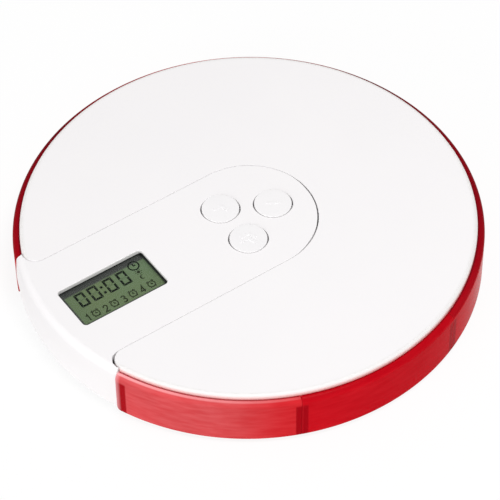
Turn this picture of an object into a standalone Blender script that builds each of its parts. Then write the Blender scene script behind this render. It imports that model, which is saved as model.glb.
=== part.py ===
# A flat round pill box with seven wedge drawers that pull out, and a control tongue with a
# display and three buttons. Sizes are in metres, +Z is up, the feet stand at height 0, the
# disc's axis is the Z axis, and the control tongue points to -X.

import math

import bmesh
import bpy
from mathutils import Vector

for old_object in list(bpy.data.objects):
    bpy.data.objects.remove(old_object, do_unlink=True)


def polar(radius, bearing):
    return (radius * math.cos(bearing), radius * math.sin(bearing))


# Driving sizes of the case
case_radius = 0.0600
case_height = 0.0159
foot_stand = 0.0006
cover_thickness = 0.0021
floor_thickness = 0.0016
wall_thickness = 0.0012
fascia_thickness = 0.0016
touch_gap = 0.0003
seam_gap = 0.00035
sector_count = 8
hub_radius = 0.0238
tongue_inset = 0.00546

# Heights and radii that follow from them
cover_underside = case_height - cover_thickness
floor_top = foot_stand + floor_thickness
lid_radius = case_radius - fascia_thickness - touch_gap
half_sector = math.pi / sector_count
tongue_half_width = case_radius * math.sin(half_sector) - tongue_inset
control_bearing = math.pi
right_angle = math.pi / 2

# Display window and the stack under it
window_length = 0.0248
window_width = 0.0132
window_rim_inset = 0.0066
window_centre_x = -(case_radius - window_rim_inset - window_length / 2)
window_corner = 0.0015
bezel_thickness = 0.0013
glass_margin = 0.0010
stack_gap = 0.00015
lens_thickness = 0.0005
lcd_thickness = 0.0021
holder_wall = 0.0007
lens_top = case_height - bezel_thickness - stack_gap
lcd_top = lens_top - lens_thickness - stack_gap
lcd_bottom = lcd_top - lcd_thickness
glass_length = window_length + 2 * glass_margin
glass_width = window_width + 2 * glass_margin
holder_length = glass_length + 2 * (touch_gap + holder_wall)
holder_width = glass_width + 2 * (touch_gap + holder_wall)

# Buttons
button_radius = 0.0049
button_raise = 0.00035
button_ring_radius = 0.0076
button_bearings = {
    "hour": math.radians(125),
    "set": 0,
    "minute": math.radians(-125),
}

# Battery, its door and the parts that stand over it
cell_radius = 0.0100
cell_thickness = 0.0032
door_margin = 0.0020
door_radius = cell_radius + door_margin
lug_reach = 0.0016
lug_height = 0.0010
lug_bottom = floor_top + touch_gap
lug_top = lug_bottom + lug_height
cell_bottom = lug_top + touch_gap
cell_top = cell_bottom + cell_thickness
lug_radius = door_radius + lug_reach
well_radius = lug_radius + touch_gap

# Circuit board, in the space between the cell and the cover
board_thickness = 0.0010
contact_space_share = 0.206
board_bottom = cell_top + contact_space_share * (cover_underside - cell_top)
board_top = board_bottom + board_thickness

# Screws that hold the covers, put in from below
shank_radius = 0.0009
head_radius = 0.0019
head_height = 0.0013
boss_radius = 0.0019
sleeve_radius = 0.0029
head_depth = 0.0020
sleeve_rise = 0.0006
sleeve_top = board_bottom + sleeve_rise
boss_bottom = sleeve_top + touch_gap
head_seat = foot_stand + head_depth
head_hole_radius = head_radius + touch_gap
shank_hole_radius = shank_radius + touch_gap
screw_tip_inset = 0.0016
screw_tip = cover_underside - screw_tip_inset
lid_screw_ring = hub_radius - wall_thickness - touch_gap - boss_radius
board_radius = lid_screw_ring - sleeve_radius - touch_gap
lid_screw_places = [polar(lid_screw_ring, half_sector * step) for step in (-3, -1, 1, 3)]
nose_screw_inset = 0.0090
nose_screw_x = -(case_radius - nose_screw_inset)
nose_screw_margin = 0.0040
nose_screw_y = tongue_half_width - nose_screw_margin
neck_screw_x = -(well_radius + wall_thickness + sleeve_radius + 2 * touch_gap)
control_screw_places = [(nose_screw_x, -nose_screw_y), (nose_screw_x, nose_screw_y), (neck_screw_x, 0)]

# Corner of the top cover where the tongue meets the rim
mouth_radius = 0.0035
slot_half_width = tongue_half_width + seam_gap
mouth_y = slot_half_width + mouth_radius
mouth_x = -math.sqrt((lid_radius - mouth_radius) ** 2 - mouth_y ** 2)
mouth_bearing = math.atan2(mouth_y, mouth_x)

# Rails on the floor that guide the drawers
rail_half_width = 0.0015
rail_height = 0.0008
rail_top = floor_top + rail_height
rail_inset = 0.0024
rail_setback = 0.0036
rail_start = hub_radius + rail_inset
rail_end = case_radius - fascia_thickness - rail_setback

# Sound holes over the buzzer
buzzer_x = window_centre_x
buzzer_radius = 0.0080
sound_hole_radius = 0.0007
sound_ring_radius = 0.0032
sound_hole_count = 6

# Feet
foot_radius = 0.0040
foot_inset = 0.0140
foot_ring_radius = case_radius - foot_inset
foot_recess = 0.0006
foot_places = [polar(foot_ring_radius, half_sector * step) for step in (-6, -2, 2, 6)]

# Posts for the board's own screws
board_head_radius = 0.0015
board_edge_margin = 0.0002
board_screw_ring = board_radius - board_head_radius - board_edge_margin
board_screw_places = [polar(board_screw_ring, right_angle), polar(board_screw_ring, -right_angle)]
board_post_radius = 0.0018
board_post_top = board_bottom - touch_gap
board_shank_radius = 0.0008
board_head_height = 0.0009
board_tip_rise = 0.0024
board_screw_tip = floor_top + board_tip_rise

# Quarter-turn of the battery door
door_turn = math.radians(40)
lug_half_angle = math.radians(12)
lug_count = 3

# Smoothness of the round forms, and how far a cutter runs past what it cuts
case_steps = 64
tongue_steps = 20
well_steps = 32
button_steps = 24
small_steps = 20
boss_steps = 10
screw_steps = 10
tiny_steps = 5
mouth_steps = 8
nose_steps = 6
round_steps = 4
lip_steps = 3
edge_steps = 2
overrun = 0.0010
weld_distance = 0.000002
sharp_angle = math.radians(35)

# Colours: red, green, blue, roughness, metallic
white_plastic = ("white plastic", (0.90, 0.89, 0.90), 0.35, 0.0)
red_plastic = ("red translucent plastic", (0.72, 0.02, 0.04), 0.25, 0.0)
clear_plastic = ("clear plastic", (0.90, 0.93, 0.92), 0.08, 0.0)
display_glass = ("display glass", (0.38, 0.46, 0.33), 0.20, 0.0)
dark_plastic = ("dark plastic", (0.04, 0.04, 0.04), 0.50, 0.0)
board_green = ("board laminate", (0.03, 0.20, 0.08), 0.45, 0.0)
grey_rubber = ("grey rubber", (0.25, 0.25, 0.26), 0.80, 0.0)
bright_steel = ("bright steel", (0.70, 0.70, 0.72), 0.25, 1.0)

part_collection = bpy.data.collections.new("pill_box")
cutter_collection = bpy.data.collections.new("pill_box_cutters")
bpy.context.scene.collection.children.link(part_collection)
bpy.context.scene.collection.children.link(cutter_collection)


def arc(radius, start, end, steps, centre=(0, 0)):
    """Points on an arc, both ends included."""
    points = []
    for step in range(steps + 1):
        x, y = polar(radius, start + (end - start) * step / steps)
        points.append((centre[0] + x, centre[1] + y))
    return points


def case_arc(radius, start, end):
    """An arc round the disc's axis, as fine as the case."""
    steps = max(1, round(abs(end - start) / (2 * math.pi) * case_steps))
    return arc(radius, start, end, steps)


def round_corners(points, radius, steps):
    """Each sharp corner of a closed outline becomes an arc, no larger than its sides allow."""
    rounded = []
    count = len(points)
    for index in range(count):
        here = Vector(points[index])
        before = Vector(points[index - 1]) - here
        after = Vector(points[(index + 1) % count]) - here
        turn = math.pi - before.angle(after)
        if turn < sharp_angle:
            rounded.append(tuple(here))
            continue
        reach_share = 0.45
        reach = min(radius * math.tan(turn / 2), reach_share * before.length, reach_share * after.length)
        start = here + before.normalized() * reach
        end = here + after.normalized() * reach
        for step in range(steps + 1):
            share = step / steps
            first = start.lerp(here, share)
            second = here.lerp(end, share)
            rounded.append(tuple(first.lerp(second, share)))
    return rounded


def material_of(finish):
    name, colour, roughness, metallic = finish
    material = bpy.data.materials.new(name)
    material.use_nodes = True
    shader = material.node_tree.nodes["Principled BSDF"]
    shader.inputs["Base Color"].default_value = (*colour, 1)
    shader.inputs["Roughness"].default_value = roughness
    shader.inputs["Metallic"].default_value = metallic
    material.diffuse_color = (*colour, 1)
    return material


def add_piece(name, mesh, finish, location=(0, 0, 0), bearing=0):
    piece = bpy.data.objects.new(name, mesh)
    piece.location = location
    piece.rotation_euler = (0, 0, bearing)
    part_collection.objects.link(piece)
    if finish:
        mesh.materials.clear()
        mesh.materials.append(material_of(finish))
    return piece


def slab(name, outline, low, high, finish=None):
    """A flat outline with a thickness: a filled 2D curve, extruded, then made a welded mesh."""
    curve = bpy.data.curves.new(name, "CURVE")
    curve.dimensions = "2D"
    curve.fill_mode = "BOTH"
    curve.extrude = (high - low) / 2
    spline = curve.splines.new("POLY")
    spline.points.add(len(outline) - 1)
    for point, (x, y) in zip(spline.points, outline):
        point.co = (x, y, 0, 1)
    spline.use_cyclic_u = True
    drawn = bpy.data.objects.new(name, curve)
    drawn.location = (0, 0, (high + low) / 2)
    part_collection.objects.link(drawn)
    bpy.context.view_layer.update()
    evaluated = drawn.evaluated_get(bpy.context.evaluated_depsgraph_get())
    mesh = bpy.data.meshes.new_from_object(evaluated)
    mesh.transform(drawn.matrix_world)
    weld_and_turn_out(mesh)
    bpy.data.objects.remove(drawn, do_unlink=True)
    return add_piece(name, mesh, finish)


def weld_and_turn_out(mesh):
    form = bmesh.new()
    form.from_mesh(mesh)
    bmesh.ops.remove_doubles(form, verts=form.verts, dist=weld_distance)
    bmesh.ops.recalc_face_normals(form, faces=form.faces)
    form.to_mesh(mesh)
    form.free()


def turned(name, profile, steps, finish=None, location=(0, 0, 0)):
    """A profile of (radius, height) points, which runs down its outer side, turned about Z."""
    mesh = bpy.data.meshes.new(name)
    edges = [(index, index + 1) for index in range(len(profile) - 1)]
    if profile[0][0] > 0:
        edges.append((len(profile) - 1, 0))
    mesh.from_pydata([(radius, 0, height) for radius, height in profile], edges, [])
    piece = add_piece(name, mesh, finish, location)
    turn = piece.modifiers.new("Turn", "SCREW")
    turn.axis = "Z"
    turn.steps = steps
    turn.render_steps = steps
    turn.use_merge_vertices = True
    turn.merge_threshold = weld_distance
    turn.use_smooth_shade = True
    return piece


def block(name, low, high, finish=None, location=(0, 0, 0), bearing=0):
    """A box between two corners of its own frame."""
    form = bmesh.new()
    bmesh.ops.create_cube(form, size=1)
    size = Vector(high) - Vector(low)
    centre = (Vector(high) + Vector(low)) / 2
    bmesh.ops.scale(form, vec=size, verts=form.verts)
    bmesh.ops.translate(form, vec=centre, verts=form.verts)
    mesh = bpy.data.meshes.new(name)
    form.to_mesh(mesh)
    form.free()
    return add_piece(name, mesh, finish, location, bearing)


def rod(name, radius, low, high, steps, finish=None, location=(0, 0)):
    """An upright cylinder."""
    form = bmesh.new()
    bmesh.ops.create_cone(
        form, cap_ends=True, segments=steps, radius1=radius, radius2=radius, depth=high - low
    )
    bmesh.ops.translate(form, vec=(0, 0, (high + low) / 2), verts=form.verts)
    mesh = bpy.data.meshes.new(name)
    form.to_mesh(mesh)
    form.free()
    return add_piece(name, mesh, finish, (*location, 0))


def combine(piece, operation, tool):
    """A Boolean that stays on the piece. The tool becomes a hidden guide."""
    part_collection.objects.unlink(tool)
    cutter_collection.objects.link(tool)
    tool.hide_render = True
    tool.display_type = "WIRE"
    change = piece.modifiers.new(tool.name, "BOOLEAN")
    change.operation = operation
    change.object = tool
    change.solver = "EXACT"


def join(piece, tool):
    combine(piece, "UNION", tool)


def cut(piece, tool):
    combine(piece, "DIFFERENCE", tool)


def keep_inside(piece, tool):
    combine(piece, "INTERSECT", tool)


def finish_piece(piece):
    """Applies the piece's modifiers and shades it smooth between its sharp edges."""
    bpy.context.view_layer.update()
    evaluated = piece.evaluated_get(bpy.context.evaluated_depsgraph_get())
    mesh = bpy.data.meshes.new_from_object(evaluated)
    mesh.shade_smooth()
    mesh.set_sharp_from_angle(angle=sharp_angle)
    piece.modifiers.clear()
    piece.data = mesh


def fillet(centre, radius, start, end, steps):
    """Profile points on a rounded edge, from one bearing to another."""
    return arc(radius, start, end, steps, centre)


def rectangle(centre_x, half_length, half_width):
    return [
        (centre_x - half_length, -half_width),
        (centre_x + half_length, -half_width),
        (centre_x + half_length, half_width),
        (centre_x - half_length, half_width),
    ]


def lug_bearing(number):
    return right_angle + number * 2 * math.pi / lug_count


def add_drawers():
    """Seven drawers alike. One is modelled along +X and turned into each place, and the two
    that stand beside the control tongue get a larger corner on that side."""
    tray_bottom = floor_top + touch_gap
    tray_floor = 0.0014
    tray_top = cover_underside - touch_gap
    tray_back = hub_radius + touch_gap
    fascia_inner = case_radius - fascia_thickness
    fascia_gap = 0.0003
    fascia_drop = 0.0013
    fascia_top = case_height - fascia_drop
    lip_radius = 0.0015
    heel_radius = 0.0015
    seam_corner = 0.0004
    tongue_corner = 0.0025
    tongue_sides = {1: -1, sector_count - 1: 1}
    side_offset = wall_thickness / 2 + touch_gap
    cavity_offset = side_offset + wall_thickness
    cavity_corner = 0.0020
    scoop_radius = 0.0016
    front_ledge = 0.0005

    heel_centre = (case_radius - heel_radius, foot_stand + heel_radius)
    profile = [(fascia_inner, fascia_top)]
    lip_centre = (case_radius - lip_radius, fascia_top - lip_radius)
    profile += fillet(lip_centre, lip_radius, right_angle, 0, lip_steps)
    profile += fillet(heel_centre, heel_radius, 0, -right_angle, lip_steps)
    profile.append((fascia_inner, foot_stand))
    drawer = turned("drawer_front_ring", profile, case_steps)

    end_bearing = half_sector - fascia_gap / (2 * case_radius)
    front_outline = case_arc(case_radius + overrun, -end_bearing, end_bearing)
    front_outline += case_arc(fascia_inner - overrun, end_bearing, -end_bearing)
    keep_inside(drawer, slab("drawer_front_stretch", front_outline, 0, case_height))

    def round_foot(piece, side, radius):
        """Rounds the front's lower corner at one end, with a cutter laid along the case's radius."""
        outline = fillet((-radius, foot_stand + radius), radius, 0, -right_angle, round_steps)
        outline += [
            (-radius, foot_stand - overrun),
            (overrun, foot_stand - overrun),
            (overrun, foot_stand + radius),
        ]
        outline = [(side * across, height) for across, height in outline]
        corner = slab("drawer_front_corner", outline, fascia_inner - overrun, case_radius + overrun)
        corner.rotation_euler = (right_angle, 0, right_angle + side * end_bearing)
        cut(piece, corner)

    for side in (1, -1):
        round_foot(drawer, side, seam_corner)

    def wedge(inner, outer, offset):
        outer_end = half_sector - math.asin(offset / outer)
        inner_end = half_sector - math.asin(offset / inner)
        return case_arc(outer, -outer_end, outer_end) + case_arc(inner, inner_end, -inner_end)

    tray_outline = wedge(tray_back, fascia_inner + fascia_thickness / 2, side_offset)
    join(drawer, slab("drawer_tray", tray_outline, tray_bottom, tray_top))

    cavity_outline = wedge(tray_back + wall_thickness, fascia_inner - front_ledge, cavity_offset)
    cavity_outline = round_corners(cavity_outline, cavity_corner, edge_steps)
    cavity_floor = tray_bottom + tray_floor
    cavity = slab("drawer_cavity", cavity_outline, cavity_floor, tray_top + overrun)
    form = bmesh.new()
    form.from_mesh(cavity.data)
    low_edges = [
        edge
        for edge in form.edges
        if all(abs(vert.co.z - cavity_floor) < weld_distance for vert in edge.verts)
        and abs(edge.calc_face_angle(0)) > sharp_angle
    ]
    bmesh.ops.bevel(form, geom=low_edges, offset=scoop_radius, segments=edge_steps, affect="EDGES")
    form.to_mesh(cavity.data)
    form.free()
    cut(drawer, cavity)

    channel_half_width = rail_half_width + touch_gap
    channel = block(
        "drawer_channel",
        (tray_back - overrun, -channel_half_width, tray_bottom - overrun),
        (rail_end + touch_gap, channel_half_width, rail_top + touch_gap),
    )
    cut(drawer, channel)

    finish_piece(drawer)
    mesh = drawer.data
    mesh.name = "pill_drawer"
    mesh.materials.clear()
    mesh.materials.append(material_of(red_plastic))
    bpy.data.objects.remove(drawer, do_unlink=True)
    for number in range(1, sector_count):
        piece = add_piece(f"pill_drawer_{number}", mesh, None)
        if number in tongue_sides:
            round_foot(piece, tongue_sides[number], tongue_corner)
            finish_piece(piece)
        piece.rotation_euler.z = control_bearing + number * 2 * half_sector


def add_base_shell():
    edge_chamfer = 0.0005
    wall_top = cover_underside - touch_gap
    profile = [
        (0, floor_top),
        (lid_radius, floor_top),
        (lid_radius, foot_stand + edge_chamfer),
        (lid_radius - edge_chamfer, foot_stand),
        (0, foot_stand),
    ]
    base = turned("base_shell", profile, case_steps, white_plastic)

    # The hub wall is a C, open towards the control bay
    hub_inner = hub_radius - wall_thickness
    hub_end = math.pi - half_sector
    hub_outline = case_arc(hub_radius, -hub_end, hub_end) + case_arc(hub_inner, hub_end, -hub_end)
    join(base, slab("hub_wall", hub_outline, floor_top - overrun, wall_top))

    rib_start = hub_radius - wall_thickness / 2
    for number in range(sector_count):
        rib = block(
            f"drawer_rib_{number}",
            (rib_start, -wall_thickness / 2, floor_top - overrun),
            (lid_radius - edge_chamfer, wall_thickness / 2, wall_top),
            bearing=half_sector + number * 2 * half_sector,
        )
        join(base, rib)

    for number in range(1, sector_count):
        rail = block(
            f"drawer_rail_{number}",
            (rail_start, -rail_half_width, floor_top - overrun),
            (rail_end, rail_half_width, rail_top),
            bearing=control_bearing + number * 2 * half_sector,
        )
        join(base, rail)

    # A low wall closes the control bay behind the turned-down nose
    bay_wall_gap = 0.0002
    bay_wall_outer = lid_radius - bay_wall_gap
    bay_wall_inner = bay_wall_outer - wall_thickness
    bay_wall_height = 0.0070
    bay_start = control_bearing - half_sector
    bay_end = control_bearing + half_sector
    bay_outline = case_arc(bay_wall_outer, bay_start, bay_end) + case_arc(bay_wall_inner, bay_end, bay_start)
    join(base, slab("bay_wall", bay_outline, floor_top - overrun, floor_top + bay_wall_height))

    for number, (x, y) in enumerate(lid_screw_places + control_screw_places):
        sleeve = rod(
            f"screw_sleeve_{number}",
            sleeve_radius,
            floor_top - overrun,
            sleeve_top,
            small_steps,
            location=(x, y),
        )
        join(base, sleeve)

    # The battery well: a ring with four fins that centre the cell
    well_rise = 0.0006
    well_top = cell_top + well_rise
    well_outline = arc(well_radius + wall_thickness, 0, 2 * math.pi, well_steps)[:-1]
    join(base, slab("well_ring", well_outline, floor_top - overrun, well_top))
    for number, (x, y) in enumerate(board_screw_places):
        post = rod(
            f"board_post_{number}",
            board_post_radius,
            floor_top - overrun,
            board_post_top,
            boss_steps,
            location=(x, y),
        )
        join(base, post)
    cut(base, rod("well_space", well_radius, floor_top, board_bottom, well_steps))
    fin_inner = cell_radius + touch_gap
    fin_drop = 0.0006
    fin_top = well_top - fin_drop
    fin_count = 4
    fin_bearing = 2 * half_sector
    for number in range(fin_count):
        fin = block(
            f"well_fin_{number}",
            (fin_inner, -wall_thickness / 2, cell_bottom),
            (well_radius + wall_thickness / 2, wall_thickness / 2, fin_top),
            bearing=fin_bearing + number * 2 * math.pi / fin_count,
        )
        join(base, fin)

    # A ring that locates the buzzer over the sound holes
    ring_height = 0.0016
    ring_inner = buzzer_radius + touch_gap
    ring_outer = ring_inner + wall_thickness / 2
    ring = turned(
        "buzzer_ring",
        [
            (ring_inner, floor_top + ring_height),
            (ring_outer, floor_top + ring_height),
            (ring_outer, floor_top - overrun),
            (ring_inner, floor_top - overrun),
        ],
        small_steps,
        location=(buzzer_x, 0, 0),
    )
    join(base, ring)

    # Cuts from below: the battery door, its lug notches, feet, screws and sound holes
    door_hole = door_radius + touch_gap
    cut(base, rod("door_hole", door_hole, foot_stand - overrun, floor_top + overrun, well_steps))
    notch_half_angle = lug_half_angle + touch_gap / door_radius
    for number in range(lug_count):
        centre = lug_bearing(number) - door_turn
        start = centre - notch_half_angle
        end = centre + notch_half_angle
        notch_outline = arc(well_radius, start, end, round_steps)
        notch_outline += arc(door_radius - overrun, end, start, round_steps)
        cut(base, slab(f"lug_notch_{number}", notch_outline, foot_stand - overrun, floor_top + overrun))
    for number, (x, y) in enumerate(foot_places):
        recess = rod(
            f"foot_recess_{number}",
            foot_radius + touch_gap,
            foot_stand - overrun,
            foot_stand + foot_recess,
            small_steps,
            location=(x, y),
        )
        cut(base, recess)
    for number, (x, y) in enumerate(lid_screw_places + control_screw_places):
        head_hole = rod(
            f"head_hole_{number}",
            head_hole_radius,
            foot_stand - overrun,
            head_seat,
            screw_steps,
            location=(x, y),
        )
        cut(base, head_hole)
        shank_hole = rod(
            f"shank_hole_{number}",
            shank_hole_radius,
            head_seat - overrun,
            sleeve_top + overrun,
            screw_steps,
            location=(x, y),
        )
        cut(base, shank_hole)
    for number, (x, y) in enumerate(board_screw_places):
        pilot = rod(
            f"board_pilot_{number}",
            board_shank_radius + touch_gap,
            board_screw_tip - touch_gap,
            board_post_top + overrun,
            screw_steps,
            location=(x, y),
        )
        cut(base, pilot)
    sound_places = [(buzzer_x, 0)]
    for number in range(sound_hole_count):
        x, y = polar(sound_ring_radius, number * 2 * math.pi / sound_hole_count)
        sound_places.append((buzzer_x + x, y))
    for number, (x, y) in enumerate(sound_places):
        hole = rod(
            f"sound_hole_{number}",
            sound_hole_radius,
            foot_stand - overrun,
            floor_top + overrun,
            tiny_steps,
            location=(x, y),
        )
        cut(base, hole)


def screw_bosses(piece, places, top):
    """Bosses under a cover, each with a pilot hole for its screw."""
    for number, (x, y) in enumerate(places):
        boss = rod(f"{piece.name}_boss_{number}", boss_radius, boss_bottom, top, boss_steps, location=(x, y))
        join(piece, boss)
    for number, (x, y) in enumerate(places):
        pilot = rod(
            f"{piece.name}_pilot_{number}",
            shank_hole_radius,
            boss_bottom - overrun,
            screw_tip + touch_gap,
            screw_steps,
            location=(x, y),
        )
        cut(piece, pilot)


def add_top_cover():
    """The C-shaped cover: a disc with the tongue's slot cut out, and two rounded corners at its mouth."""
    edge_radius = 0.0008
    profile = [(0, case_height)]
    edge_centre = (lid_radius - edge_radius, case_height - edge_radius)
    profile += fillet(edge_centre, edge_radius, right_angle, 0, edge_steps)
    profile += [(lid_radius, cover_underside), (0, cover_underside)]
    cover = turned("top_cover", profile, case_steps, white_plastic)

    far_radius = case_radius + overrun
    slot = arc(slot_half_width, -right_angle, right_angle, tongue_steps)
    slot += arc(mouth_radius, -right_angle, mouth_bearing - 2 * math.pi, mouth_steps, (mouth_x, mouth_y))
    slot += case_arc(far_radius, mouth_bearing, 2 * math.pi - mouth_bearing)
    slot += arc(mouth_radius, 2 * math.pi - mouth_bearing, right_angle, mouth_steps, (mouth_x, -mouth_y))
    cut(cover, slab("tongue_slot", slot, cover_underside - overrun, case_height + overrun))
    screw_bosses(cover, lid_screw_places, cover_underside + cover_thickness / 2)


def add_control_cover():
    """The tongue, its soft nose over the rim, the display window, button holes and bosses."""
    nose_top_radius = 0.0020
    nose_heel_radius = 0.0022
    nose_bulge = 0.0003
    cap_lift = 0.0002
    cap_bottom = foot_stand + cap_lift
    side_radius = case_radius - nose_bulge
    skirt_inner = case_radius - fascia_thickness
    inner_round = 0.0006

    profile = [(0, case_height)]
    nose_top_centre = (side_radius - nose_top_radius, case_height - nose_top_radius)
    profile += fillet(nose_top_centre, nose_top_radius, right_angle, 0, nose_steps)
    profile += [(case_radius, (case_height + cap_bottom) / 2)]
    nose_heel_centre = (side_radius - nose_heel_radius, cap_bottom + nose_heel_radius)
    profile += fillet(nose_heel_centre, nose_heel_radius, 0, -right_angle, nose_steps)
    profile += [(0, cap_bottom)]
    cover = turned("control_cover", profile, case_steps, white_plastic)

    # The keyhole outline: round end, straight sides, then round the top cover's corners to the rim
    corner_arc_radius = mouth_radius + seam_gap
    end_gap = 0.0003
    end_bearing = control_bearing - half_sector + end_gap / case_radius
    across = mouth_x * math.cos(end_bearing) + mouth_y * math.sin(end_bearing)
    aside = mouth_x * math.sin(end_bearing) - mouth_y * math.cos(end_bearing)
    reach = across + math.sqrt(corner_arc_radius ** 2 - aside ** 2)
    end_x, end_y = polar(reach, end_bearing)
    corner_end = -(-math.atan2(end_y - mouth_y, end_x - mouth_x) % (2 * math.pi))
    far_radius = case_radius + overrun
    outline = arc(tongue_half_width, -right_angle, right_angle, tongue_steps)
    outline += arc(corner_arc_radius, -right_angle, corner_end, mouth_steps, (mouth_x, mouth_y))
    outline += case_arc(far_radius, end_bearing, 2 * math.pi - end_bearing)
    outline += arc(corner_arc_radius, -corner_end, right_angle, mouth_steps, (mouth_x, -mouth_y))
    keep_inside(cover, slab("tongue_outline", outline, foot_stand - overrun, case_height + overrun))

    inner_profile = [(0, cover_underside)]
    inner_profile += fillet(
        (skirt_inner - inner_round, cover_underside - inner_round), inner_round, right_angle, 0, edge_steps
    )
    inner_profile += [(skirt_inner, foot_stand - overrun), (0, foot_stand - overrun)]
    cut(cover, turned("nose_hollow", inner_profile, case_steps))

    half_length = window_length / 2
    half_width = window_width / 2
    window = rectangle(window_centre_x, half_length, half_width)
    window = round_corners(window, window_corner, round_steps)
    cut(cover, slab("window_opening", window, cover_underside - overrun, case_height + overrun))
    pocket_half_length = glass_length / 2 + touch_gap
    pocket_half_width = glass_width / 2 + touch_gap
    pocket = rectangle(window_centre_x, pocket_half_length, pocket_half_width)
    cut(cover, slab("lens_pocket", pocket, cover_underside - overrun, case_height - bezel_thickness))

    for name, bearing in button_bearings.items():
        place = polar(button_ring_radius, bearing)
        hole = rod(
            f"button_hole_{name}",
            button_radius + touch_gap,
            cover_underside - overrun,
            case_height + overrun,
            button_steps,
            location=place,
        )
        cut(cover, hole)

    # Hooks at the round end reach under the top cover
    hook_wall = 0.0012
    hook_reach = 0.0019
    hook_thickness = 0.0010
    hook_half_angle = math.radians(8)
    hook_steps = 3
    leg_outer = tongue_half_width - seam_gap
    hook_inner = leg_outer - hook_wall
    hook_outer = tongue_half_width + hook_reach
    hook_top = cover_underside - touch_gap
    hook_bottom = hook_top - hook_thickness
    hook_profile = [
        (hook_inner, cover_underside + cover_thickness / 2),
        (leg_outer, cover_underside + cover_thickness / 2),
        (leg_outer, hook_top),
        (hook_outer, hook_top),
        (hook_outer, hook_bottom),
        (hook_inner, hook_bottom),
    ]
    for number, bearing in enumerate((-2 * half_sector, 0, 2 * half_sector)):
        hook = turned(f"hook_{number}", hook_profile, case_steps)
        start = bearing - hook_half_angle
        end = bearing + hook_half_angle
        sector = arc(hook_outer + overrun, start, end, hook_steps)
        sector += arc(hook_inner - overrun, end, start, hook_steps)
        keep_inside(hook, slab(f"hook_sector_{number}", sector, hook_bottom - overrun, case_height))
        join(cover, hook)

    screw_bosses(cover, control_screw_places, cover_underside + cover_thickness / 2)


def add_display():
    """Lens, display glass, its holder and the two elastomer strips that connect it to the board."""
    lens = rectangle(window_centre_x, glass_length / 2, glass_width / 2)
    slab("lcd_window", lens, lens_top - lens_thickness, lens_top, clear_plastic)

    glass_step = 0.0012
    upper_glass_share = 0.5
    step_height = lcd_bottom + lcd_thickness * (1 - upper_glass_share)
    glass = block(
        "lcd_glass",
        (window_centre_x - glass_length / 2, -glass_width / 2, lcd_bottom),
        (window_centre_x + glass_length / 2, glass_width / 2, lcd_top),
        display_glass,
    )
    for side, name in ((1, "far"), (-1, "near")):
        edges = sorted((side * (glass_width / 2 - glass_step), side * (glass_width / 2 + overrun)))
        ledge = block(
            f"glass_ledge_{name}",
            (window_centre_x - glass_length, edges[0], lcd_bottom - overrun),
            (window_centre_x + glass_length, edges[1], step_height),
        )
        cut(glass, ledge)

    holder_bottom = board_top + touch_gap
    holder_top = cover_underside - touch_gap
    holder = slab(
        "lcd_holder",
        rectangle(window_centre_x, holder_length / 2, holder_width / 2),
        holder_bottom,
        holder_top,
        dark_plastic,
    )
    inside = rectangle(window_centre_x, holder_length / 2 - holder_wall, holder_width / 2 - holder_wall)
    cut(holder, slab("holder_opening", inside, holder_bottom - overrun, holder_top + overrun))

    strip_width = 0.0018
    strip_inset = 0.0016
    strip_y = glass_width / 2 - strip_inset - strip_width / 2
    for number, side in ((1, 1), (2, -1)):
        block(
            f"lcd_connector_{number}",
            (window_centre_x - window_length / 2, side * strip_y - strip_width / 2, board_top + touch_gap),
            (window_centre_x + window_length / 2, side * strip_y + strip_width / 2, lcd_bottom - touch_gap),
            grey_rubber,
        )


def add_circuit_board():
    """A disc under the buttons and a strip under the display, with the parts it carries."""
    neck_half_width = 0.0076
    strip_half_width = holder_width / 2
    strip_inner = window_centre_x + holder_length / 2
    strip_outer = window_centre_x - holder_length / 2
    neck_bearing = math.pi - math.asin(neck_half_width / board_radius)
    outline = arc(board_radius, -neck_bearing, neck_bearing, well_steps)
    outline += [
        (strip_inner, neck_half_width),
        (strip_inner, strip_half_width),
        (strip_outer, strip_half_width),
        (strip_outer, -strip_half_width),
        (strip_inner, -strip_half_width),
        (strip_inner, -neck_half_width),
    ]
    board = slab("circuit_board", outline, board_bottom, board_top, board_green)
    boss_hole = rod(
        "neck_hole",
        sleeve_radius + touch_gap,
        board_bottom - overrun,
        board_top + overrun,
        small_steps,
        location=(neck_screw_x, 0),
    )
    cut(board, boss_hole)
    for number, place in enumerate(board_screw_places):
        hole = rod(
            f"board_hole_{number}",
            board_shank_radius + touch_gap,
            board_bottom - overrun,
            board_top + overrun,
            screw_steps,
            location=place,
        )
        cut(board, hole)

    part_bottom = board_top + touch_gap
    blob_radius = 0.0026
    blob_height = 0.0010
    blob = [(0, part_bottom + blob_height)]
    for step in range(1, round_steps + 1):
        bearing = right_angle * (1 - step / round_steps)
        blob.append((blob_radius * math.cos(bearing), part_bottom + blob_height * math.sin(bearing)))
    blob.append((0, part_bottom))
    turned("driver_chip", blob, boss_steps, dark_plastic)

    crystal_radius = 0.0010
    crystal_length = 0.0060
    crystal_inset = 0.0044
    crystal_bearing = math.radians(66)
    crystal_x, crystal_y = polar(board_radius - crystal_inset, crystal_bearing)
    crystal = turned(
        "timing_crystal",
        [
            (0, crystal_length),
            (crystal_radius, crystal_length),
            (crystal_radius, 0),
            (0, 0),
        ],
        boss_steps,
        bright_steel,
        (crystal_x + crystal_length / 2, crystal_y, part_bottom + crystal_radius),
    )
    crystal.rotation_euler = (0, -right_angle, 0)


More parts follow.
